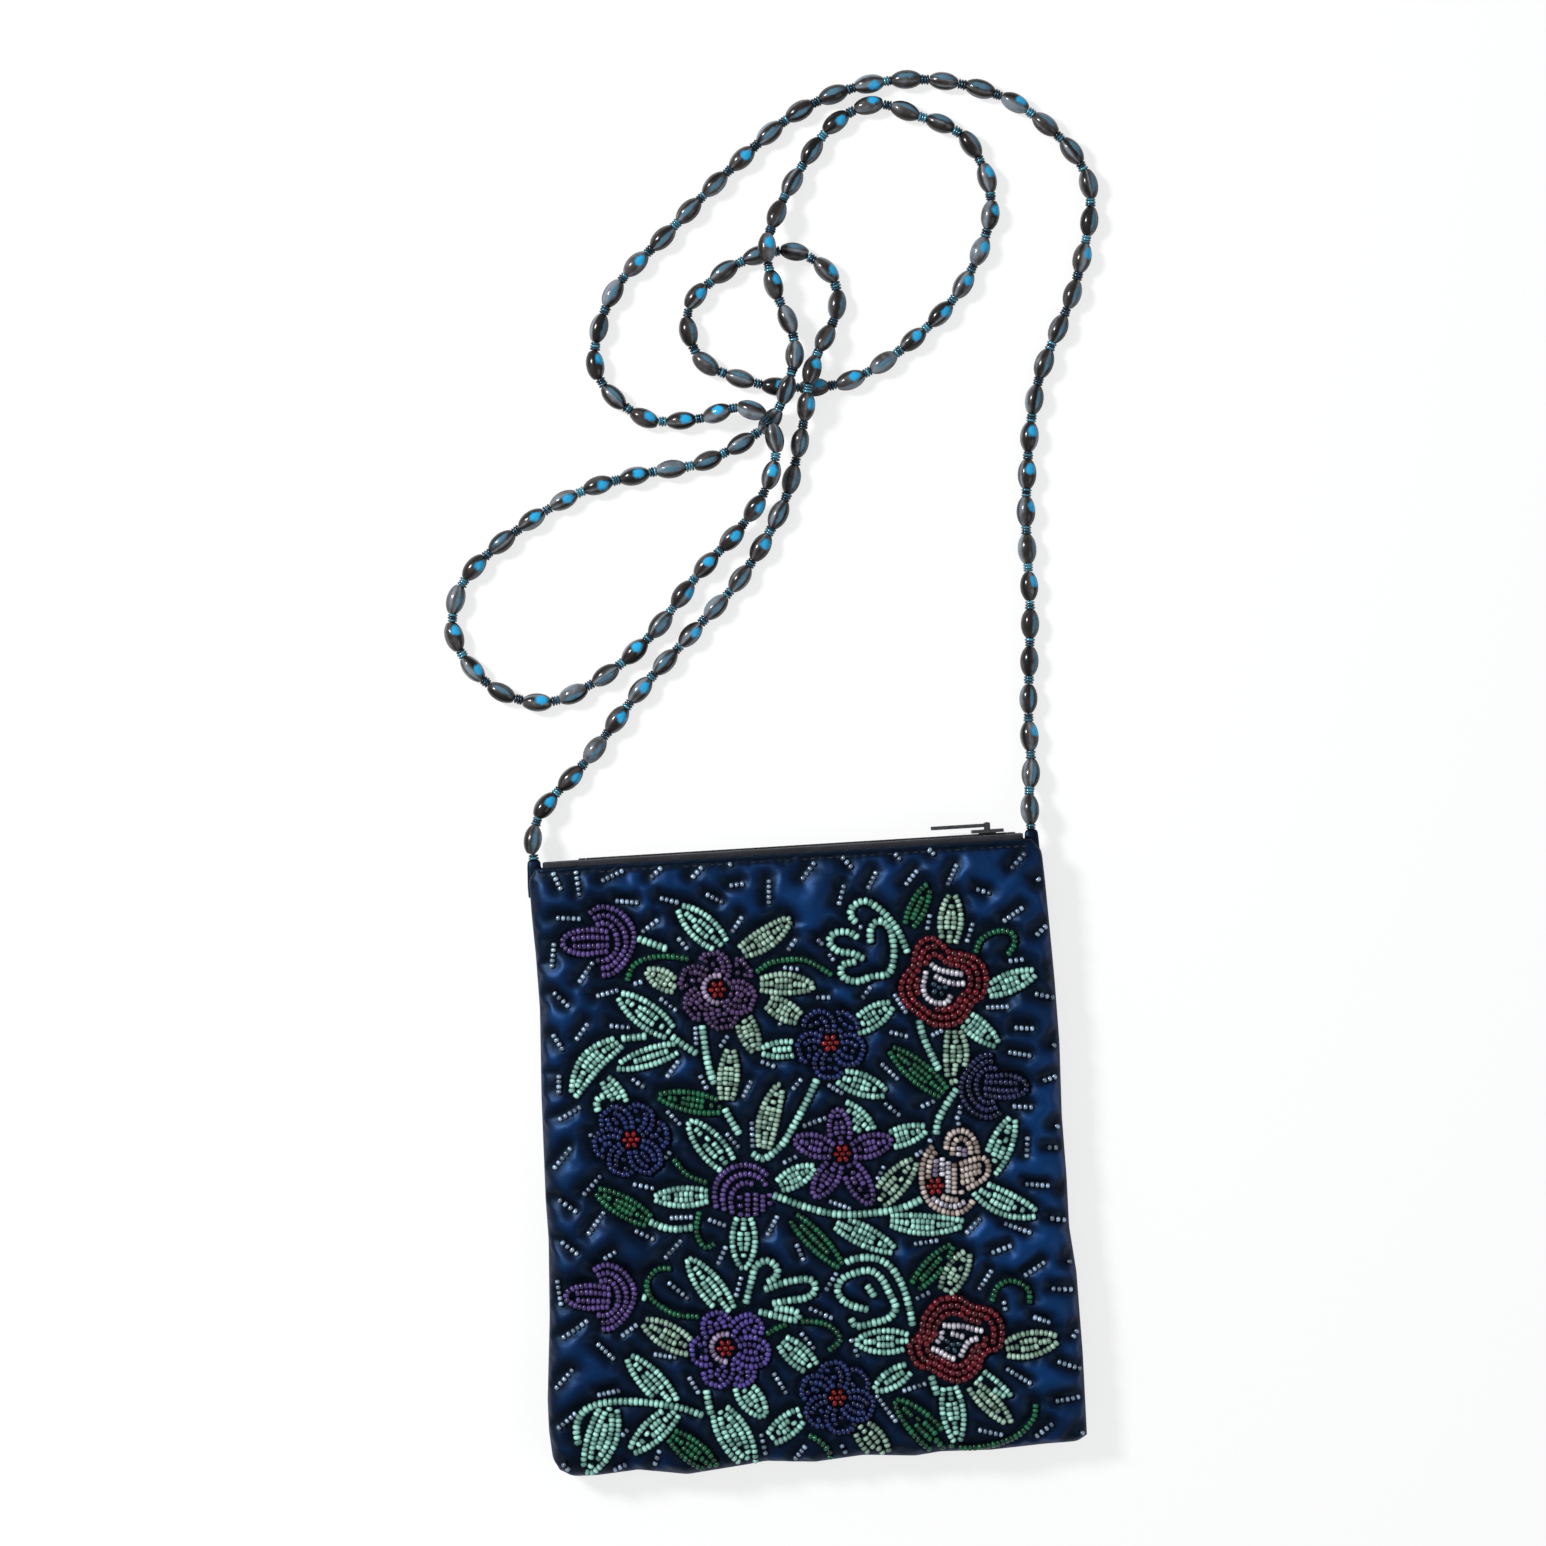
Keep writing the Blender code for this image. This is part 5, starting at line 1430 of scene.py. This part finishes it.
slot_of_colour = {
    "mint": "mint_beads", "sage": "mint_beads", "green": "green_beads", "purple": "purple_beads",
    "plum": "purple_beads", "violet": "purple_beads", "thistle": "navy_beads", "red": "red_beads",
    "navy": "navy_beads", "cream": "cream_beads", "lavender": "purple_beads", "ink": "navy_beads",
    "silver": "cream_beads", "bright_red": "red_beads",
}


def make_beadwork():
    flowers = make_flowers()
    leaves = {}
    for name, (colour, base, tip, width, bend) in leaf_pixels.items():
        leaves[name] = leaf(base, tip, width, colour, bend)
    stems = {}
    for name, (colour, points) in stem_pixels.items():
        stems[name] = pixel_row(points, colour, "wide")
    more_leaves = {"mint": [], "sage": [], "green": []}
    for colour, base, tip, width, bend in further_leaf_pixels:
        more_leaves[colour] += leaf(base, tip, width, colour, bend)
    curls = []
    for points in curl_pixels:
        curls += pixel_row(points, "mint", "wide")
    tendrils = {"mint": [], "green": []}
    for colour, kind in (("mint", "wide"), ("green", "seed")):
        for points in tendril_pixels[colour]:
            tendrils[colour] += pixel_row(points, colour, kind)
    scatter = make_scatter()
    for name, beads in flowers.items():
        bead_piece(name + "_beads", beads, [name], slot_of_colour[beads[-1][2]], flower_lift)
    for name, beads in leaves.items():
        bead_piece(name + "_beads", beads, [name], slot_of_colour[beads[0][2]], leaf_lift)
    for name, beads in stems.items():
        bead_piece(name + "_beads", beads, [name], "mint_beads")
    for colour, beads in more_leaves.items():
        bead_piece(f"further_{colour}_leaf_beads", beads, (), slot_of_colour[colour])
    for colour, beads in tendrils.items():
        bead_piece(f"further_{colour}_stem_beads", beads, (), slot_of_colour[colour])
    bead_piece("curl_beads", curls, (), "mint_beads")
    bead_piece("scattered_beads", scatter, (), "navy_beads")


# The satin panels

def side_curve(indexes):
    return outline[list(indexes), :2]


def grid_shares(length, rim):
    """Steps along one way of the panel, as shares of it: narrow at both rims, even between them."""
    count = int((length - 2 * rim_width) / satin_grid)
    middle = np.linspace(rim_width, length - rim_width, count + 1)[1:-1]
    steps = np.concatenate((rim, middle, [length - step for step in reversed(rim)]))
    return steps / length


def spaced(indexes, shares):
    """Places along a side of the outline, at shares of its length."""
    curve = side_curve(indexes)
    return along_path(curve, np.clip(shares, 0, 1) * path_length(curve) * last_place_share)[0]


def panel_grid():
    """A grid of places that follows the outline, with narrow cells round its rim."""
    rim = [rim_width * (1 - math.cos(math.pi / 2 * step / rim_steps)) for step in range(rim_steps + 1)]
    across = grid_shares(2 * half_width, rim)
    along = grid_shares(2 * panel_half_length, rim)
    bottom, top = spaced(bottom_side, across), spaced(mouth_side, across)
    left, right = spaced(left_side, along), spaced(right_side, along)
    s = across[None, :, None]
    t = along[:, None, None]
    blend = (1 - t) * bottom[None] + t * top[None] + (1 - s) * left[:, None] + s * right[:, None]
    corners = ((1 - s) * (1 - t) * bottom[0] + s * (1 - t) * bottom[-1]
               + (1 - s) * t * top[0] + s * t * top[-1])
    grid = blend - corners
    rows, columns = grid.shape[:2]
    return grid.reshape(-1, 2), grid_quads(rows, columns), rows, columns


def drawn_down(places):
    """How far each place is from the nearest bead, and how far it has risen again, from 0 to 1. The rise
    shapes the satin and also sets its painted shade.
    """
    spots = np.array(beadwork.places)
    pulled = spots + np.array(crease_and_shade_shift)
    reaches = np.array(beadwork.reaches)
    gaps = []
    rises = []
    for part in np.array_split(places, sorting_parts):
        gaps.append(np.linalg.norm(part[:, None, :] - spots[None], axis=2).min(axis=1))
        reach = np.linalg.norm(part[:, None, :] - pulled[None], axis=2)
        rises.append(np.clip((reach - bead_foot) / reaches, 0, 1).min(axis=1))
    return np.concatenate(gaps), np.concatenate(rises)


def run_cloth(points, quads, pinned):
    """Lets an enlarged sheet of cloth settle, held where it is pinned, and gives it back at its own size."""
    sheet = build_mesh("settling_cloth", points * cloth_scale, quads, [])
    group = sheet.vertex_groups.new(name="pinned")
    group.add([int(number) for number in np.nonzero(pinned)[0]], 1.0, "REPLACE")
    cloth = sheet.modifiers.new("cloth", "CLOTH")
    settings = cloth.settings
    settings.quality = cloth_quality
    settings.mass = cloth_mass
    settings.tension_stiffness = cloth_stretch_stiffness
    settings.compression_stiffness = cloth_stretch_stiffness
    settings.shear_stiffness = cloth_shear_stiffness
    settings.bending_stiffness = cloth_bending_stiffness
    settings.vertex_group_mass = group.name
    settings.shrink_min = -cloth_growth_share
    settings.use_pressure = True
    settings.uniform_pressure_force = cloth_pressure
    settings.effector_weights.gravity = 0.0
    cloth.collision_settings.use_collision = False
    scene = bpy.context.scene
    scene.frame_start = 1
    scene.frame_end = cloth_frames
    for number in range(1, cloth_frames + 1):
        scene.frame_set(number)
    settled = sheet.evaluated_get(bpy.context.evaluated_depsgraph_get())
    result = np.zeros(len(points) * 3, np.float32)
    settled.data.vertices.foreach_get("co", result)
    bpy.data.objects.remove(sheet)
    scene.frame_set(1)
    return result.reshape(-1, 3).astype(float) / cloth_scale


def soften(heights, rows, columns, fixed):
    """Evens a grid's heights a little, apart from the fixed ones."""
    level = heights.reshape(rows, columns)
    padded = np.pad(level, 1, mode="edge")
    mean = (padded[:-2, 1:-1] + padded[2:, 1:-1] + padded[1:-1, :-2] + padded[1:-1, 2:]) / 4
    return np.where(fixed.reshape(rows, columns), level, (level + mean) / 2).ravel()


def settled_points(start, quads, rows, columns, pinned):
    """Where the front satin comes to rest, with no place moved further than it may."""
    moved = run_cloth(start, quads, pinned) - start
    reach = np.linalg.norm(moved, axis=1)
    moved *= (np.minimum(reach, most_moved) / np.maximum(reach, tiny))[:, None]
    points = start + moved
    points[:, 2] = soften(points[:, 2], rows, columns, pinned)
    return points


def make_satin(body, points, quads, rise_and_shade):
    """A satin panel, smoothed and given its thickness, darkened by painted shade where it rises less."""
    piece = build_mesh(f"{body}_satin_cloth", points, quads, [materials["satin"]])
    smooth = piece.modifiers.new("smooth", "SUBSURF")
    smooth.levels = 1
    smooth.render_levels = 1
    thicken(piece, satin_thickness, -1)
    set_attribute(piece, "rise_and_shade", rise_and_shade)
    stand_in(piece, body, "navy_satin", f"{body}_satin")


def make_front_satin():
    """The quilted front: down at each bead and stitch, and puffed between them, with painted shade in its
    creases, along its rim and down its left side.
    """
    places, quads, rows, columns = panel_grid()
    away = edge_distance(places)[0]
    gap, rise_and_shade = drawn_down(places)
    edge_share = np.clip(away / (full_height_rims * rim_width), 0, 1)
    rise_and_shade = np.sin(rise_and_shade * math.pi / 2) ** puff_power
    puffed = panel_level(places) - stitch_dip * edge_share + (stitch_dip + puff_height) * rise_and_shade * edge_share
    points = np.column_stack((places, middle_height + puffed))
    pinned = (gap < bead_pin_reach) | (away < rim_pin_reach)
    points = settled_points(points, quads, rows, columns, pinned)
    # Painted shade: the colour darkens towards the rim, over a wider band down the left side
    at_shaded_side = places[:, 0] < -shaded_side_share * half_width
    shade = np.clip(away / np.where(at_shaded_side, shaded_side_width, shaded_rim_width), 0, 1)
    rise_and_shade = rise_and_shade * (least_shade_share + (1 - least_shade_share) * shade)
    make_satin("front", points, quads, rise_and_shade)


def make_back_satin():
    """The plain back, with slack waves, darkened by painted shade in their troughs."""
    places, quads, rows, columns = panel_grid()
    away = edge_distance(places)[0]
    turn = back_wave_turn * np.sin(places[:, 1] / back_wave_length)
    wave = (np.sin(places[:, 0] / back_wave_width + turn) + 1) * np.clip(away / rim_width, 0, 1)
    levels = middle_height - panel_level(places) + back_wave_height * wave
    # Painted shade: darker in the troughs of the waves, lighter on their crests
    rise_and_shade = back_shade_level + back_wave_shade_span * wave / 2
    make_satin("back", np.column_stack((places, levels)), quads[:, ::-1], rise_and_shade)


# The hem, the seams and what lies inside

def loft(name, rings, material, rise_and_shade=0.0):
    """A closed piece through rings of equally many points, its two ends covered."""
    rings = np.array(rings)
    count, sides = rings.shape[:2]
    faces = ring_quads(count, sides).tolist()
    faces.append(list(range(sides)))
    faces.append([(count - 1) * sides + side for side in range(sides)])
    mesh = bpy.data.meshes.new(name)
    mesh.from_pydata(rings.reshape(-1, 3).tolist(), [], faces)
    shape = bmesh.new()
    shape.from_mesh(mesh)
    bmesh.ops.recalc_face_normals(shape, faces=shape.faces)
    shape.to_mesh(mesh)
    shape.free()
    mesh.polygons.foreach_set("use_smooth", np.full(len(mesh.polygons), True))
    mesh.materials.append(material)
    piece = add_piece(name, mesh)
    if rise_and_shade:
        set_attribute(piece, "rise_and_shade", np.full(len(mesh.vertices), rise_and_shade))
    return piece


def round_section(half_first, half_second, power, sides):
    """A rounded oblong about zero, as offsets in two directions. A lower power squares it."""
    section = []
    for side in range(sides):
        angle = 2 * math.pi * side / sides
        first, second = math.cos(angle), math.sin(angle)
        section.append((
            half_first * math.copysign(abs(first) ** power, first),
            half_second * math.copysign(abs(second) ** power, second),
        ))
    return section


def mouth_line(drop, count):
    """Places along the mouth, the given distance below its edge, from left to right."""
    curve = side_curve(mouth_side)
    length = path_length(curve)
    first, last = length * mouth_end_share, length * (1 - mouth_end_share)
    places, headings = along_path(curve, np.linspace(first, last, count))
    down = np.stack((headings[:, 1], -headings[:, 0]), axis=1)
    return places + down * drop


def make_hems():
    """A thin rolled hem along each side of the mouth."""
    for side, body in ((1, "front"), (-1, "back")):
        places = mouth_line(hem_radius + hem_drop, hem_points)
        levels = panel_level(mouth_line(hem_drop, hem_points))
        rings = []
        for number, (place, level) in enumerate(zip(places, levels)):
            radius = hem_radius * (1 + hem_swell * math.sin(number * hem_swell_turn))
            ring = []
            for y, z in round_section(radius, radius, hem_section_power, hem_sides):
                ring.append((place[0], place[1] + y, middle_height + side * (level - hem_drop + z)))
            rings.append(ring)
        hem = loft(body + "_hem", rings, materials["dark_satin"], hem_rise)
        stand_in(hem, body, "navy_satin")


def lay_stitches():
    """The stitches below the front's hem, which hold the satin down as the beads do."""
    line = mouth_line(stitch_line_drop, stitch_line_points)
    length = path_length(line)
    count = int(length / stitch_pitch)
    places, headings = along_path(line, (np.arange(count) + 0.5) * length / count)
    for place in places:
        beadwork.add(place, 0, stitch_reach)
    return places, headings


def make_stitches(places, headings):
    levels, facing = bead_levels(places)
    profile = [(stitch_length * along, stitch_radius * reach) for along, reach in stitch_shape_shares]
    centres = np.column_stack((places, levels + stitch_dip * stitch_lift_share))
    runs = np.column_stack((headings, np.zeros(len(headings))))
    template = bead_template(profile, stitch_sides)
    points, quads = place_beads(template, centres, runs, facing, np.ones(len(centres)))
    piece = build_mesh("hem_stitches", points, quads, [materials["thread"]])
    stand_in(piece, "front", "navy_satin")


def make_bottom_seam():
    """The rolled seam under both panels, along the bottom."""
    low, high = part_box("bottom_seam")
    edge = side_curve(bottom_side)
    edge = edge[(edge[:, 0] > low.x) & (edge[:, 0] < high.x)]
    depth = seam_depth / 2
    end = depth / 3
    path = smooth_path([(low.x + end, edge[0][1]), *edge, (high.x - end, edge[-1][1])], seam_path_steps)
    rings = []
    for number, place in enumerate(path):
        taper = seam_end_taper if number in (0, len(path) - 1) else 1.0
        swell = taper * (1 + seam_swell * math.sin(number * seam_swell_turn))
        half_height = (high.z - low.z) / 2 * taper
        middle_y = max(place[1], low.y) + seam_inset + depth
        section = round_section(depth * swell, half_height, seam_section_power, seam_sides)
        rings.append([(place[0], middle_y + y, middle_height + z) for y, z in section])
    seam = loft("rolled_bottom_seam", rings, materials["dark_satin"], seam_rise)
    stand_in(seam, "back", "black_satin", "bottom_seam")


def tape_section(low, high, side):
    """A tape's thin section: up from the teeth, round a bend and flat under the lip, as (y, z)."""
    near, far = (low.z, high.z) if side == 1 else (high.z, low.z)
    upright_y = high.y - cloth_thickness / 2
    flat_z = far - side * cloth_thickness / 2
    line = [(upright_y, near), (upright_y, near + (far - near) * tape_rise_share)]
    for step in range(tape_bend_steps + 1):
        angle = math.pi / 2 * step / tape_bend_steps
        line.append((
            upright_y - tape_bend * (1 - math.cos(angle)),
            flat_z - side * tape_bend * (1 - math.sin(angle)),
        ))
    line = np.array([*line, (low.y + tape_bend, flat_z), (low.y, flat_z)])
    headings = np.gradient(line, axis=0)
    headings /= np.linalg.norm(headings, axis=1)[:, None]
    across = np.stack((-headings[:, 1], headings[:, 0]), axis=1) * cloth_thickness / 2
    return np.vstack((line + across, (line - across)[::-1]))


def make_tapes():
    """A woven tape that stands up from the teeth and turns in under the lip, at each side of the mouth."""
    for side, body in ((1, "front"), (-1, "back")):
        low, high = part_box(f"{body}_zip_tape")
        section = tape_section(low, high, side)
        rings = []
        for x in np.linspace(low.x - tape_overhang, high.x + tape_overhang, tape_points):
            ripple = tape_ripple * math.sin(x / tape_ripple_length)
            rings.append([(x, y + ripple, z) for y, z in section])
        tape = loft(body + "_woven_tape", rings, materials["tape"])
        stand_in(tape, body, "black_tape", f"{body}_zip_tape")


def gusset_ring(outer, inner, sign, bow, y, bottom, top):
    """A gusset's fold at one height: two thin leaves from the panels' rims to the crease between them."""
    middle_x = (outer + inner) / 2
    low_z, high_z = middle_height - cloth_thickness, middle_height + cloth_thickness
    crease_x = inner + sign * cloth_thickness
    low_leaf_z = (bottom + low_z) / 2 + bow
    high_leaf_z = (top + high_z) / 2 - bow
    ring = [
        (outer, bottom), (middle_x, low_leaf_z), (inner, low_z),
        (inner - sign * cloth_thickness, middle_height), (inner, high_z), (middle_x, high_leaf_z),
        (outer, top), (outer, top - cloth_thickness),
        (middle_x, high_leaf_z - cloth_thickness), (crease_x, middle_height + fold_gap),
        (crease_x, middle_height - fold_gap), (middle_x, low_leaf_z + cloth_thickness),
        (outer, bottom + cloth_thickness),
    ]
    return [(x, y, z) for x, z in ring]


def make_gusset(side, sign, edge):
    """A folded gusset of satin, sewn to both panels."""
    low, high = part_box(f"{side}_gusset_back")
    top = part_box(f"{side}_gusset_front")[1].z
    curve = side_curve(edge)
    curve = curve[np.argsort(curve[:, 1])]
    heights = np.linspace(low.y, high.y, gusset_points)
    rims = np.interp(heights, curve[:, 1], curve[:, 0])
    rings = []
    for number, (y, rim) in enumerate(zip(heights, rims)):
        up = number / (len(heights) - 1)
        outer = rim - sign * gusset_inset
        inner = outer - sign * (gusset_low_depth + (gusset_high_depth - gusset_low_depth) * up)
        inner += gusset_wave * math.sin(y / gusset_wave_length) * up
        bow = gusset_bow * math.sin(y / gusset_bow_length)
        rings.append(gusset_ring(outer, inner, sign, bow, y, low.z, top))
    gusset = loft(f"{side}_folded_gusset", rings, materials["dark_satin"], gusset_rise)
    stand_in(gusset, None, "black_satin", f"{side}_gusset_back", f"{side}_gusset_front")
    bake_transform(gusset)


def make_gussets():
    make_gusset("left", -1, left_side)
    make_gusset("right", 1, right_side)


# A strap tab's shape: shares of the way up it, of its width and of its height
tab_shape_shares = [
    (0.0, 0.85, 0.7), (0.03, 0.97, 0.9), (0.3, 1.0, 0.97), (0.6, 0.94, 1.0),
    (0.8, 0.90, 1.0), (0.92, 0.84, 0.92), (0.98, 0.66, 0.66), (1.0, 0.35, 0.3),
]


def make_anchors():
    """A small folded tab of satin over the root of the strap at each side."""
    for side in ("left", "right"):
        low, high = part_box(f"{side}_strap_anchor")
        middle_x, middle_z = (low.x + high.x) / 2, (low.z + high.z) / 2
        rings = []
        for up, width, height in tab_shape_shares:
            half_across, half_up = (high.x - low.x) / 2 * width, (high.z - low.z) / 2 * height
            y = low.y + (high.y - low.y) * up
            section = round_section(half_across, half_up, tab_section_power, tab_sides)
            rings.append([(middle_x + x, y, middle_z + z) for x, z in section])
        tab = loft(side + "_strap_tab", rings, materials["dark_satin"], tab_rise)
        stand_in(tab, "back", "black_satin", f"{side}_strap_anchor")


def sheet_points(low, high, inset):
    """A grid of places over a sheet, rounded a little at its corners and waved."""
    middle = np.array((0, (low.y + high.y) / 2))
    half = np.array((high.x, (high.y - low.y) / 2)) - inset
    across, along = np.meshgrid(np.linspace(-1, 1, sheet_columns), np.linspace(-1, 1, sheet_rows))
    spread = np.stack((across.ravel(), along.ravel()), axis=1)
    rounding = 1 - corner_rounding_share * np.abs(spread).prod(axis=1) ** corner_power
    places = middle + spread * rounding[:, None] * half
    wave = np.sin(places[:, 0] / sheet_wave_width) * np.sin(places[:, 1] / sheet_wave_length)
    return np.column_stack((places, (low.z + high.z) / 2 + sheet_wave * wave))


def make_inner_sheet(body, kind, finish, inset):
    low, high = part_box(f"{body}_{kind}")
    quads = grid_quads(sheet_rows, sheet_columns)
    piece = build_mesh(f"{body}_soft_{kind}", sheet_points(low, high, inset), quads, [materials[finish]])
    thicken(piece, high.z - low.z - sheet_clearance, 0)
    stand_in(piece, body, finish, f"{body}_{kind}")
    return piece, (high.x - low.x, high.y - low.y)


def make_inner_sheets():
    """Wadding and lining: soft sheets, waved a little, that end short of the rim."""
    for body in ("back", "front"):
        padding = make_inner_sheet(body, "padding", "wadding", padding_inset)[0]
        lining, size = make_inner_sheet(body, "lining", "lining", 0)


# The CAD nodes that still show, with their own finish

def dress_nodes():
    finish = {
        "teeth": ("back_zip_teeth", "front_zip_teeth"),
        "metal": ("zip_slider", "zip_pull", "back_top_stop", "front_top_stop", "bottom_stop"),
    }
    for name, nodes in finish.items():
        for node in nodes:
            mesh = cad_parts[node].data
            mesh.materials.clear()
            mesh.materials.append(materials[name])


make_camera()
make_strap()
make_stage()
make_light()
make_beadwork()
stitch_places, stitch_headings = lay_stitches()
make_front_satin()
make_back_satin()
make_hems()
make_stitches(stitch_places, stitch_headings)
make_bottom_seam()
make_tapes()
make_gussets()
make_anchors()
make_inner_sheets()
dress_nodes()
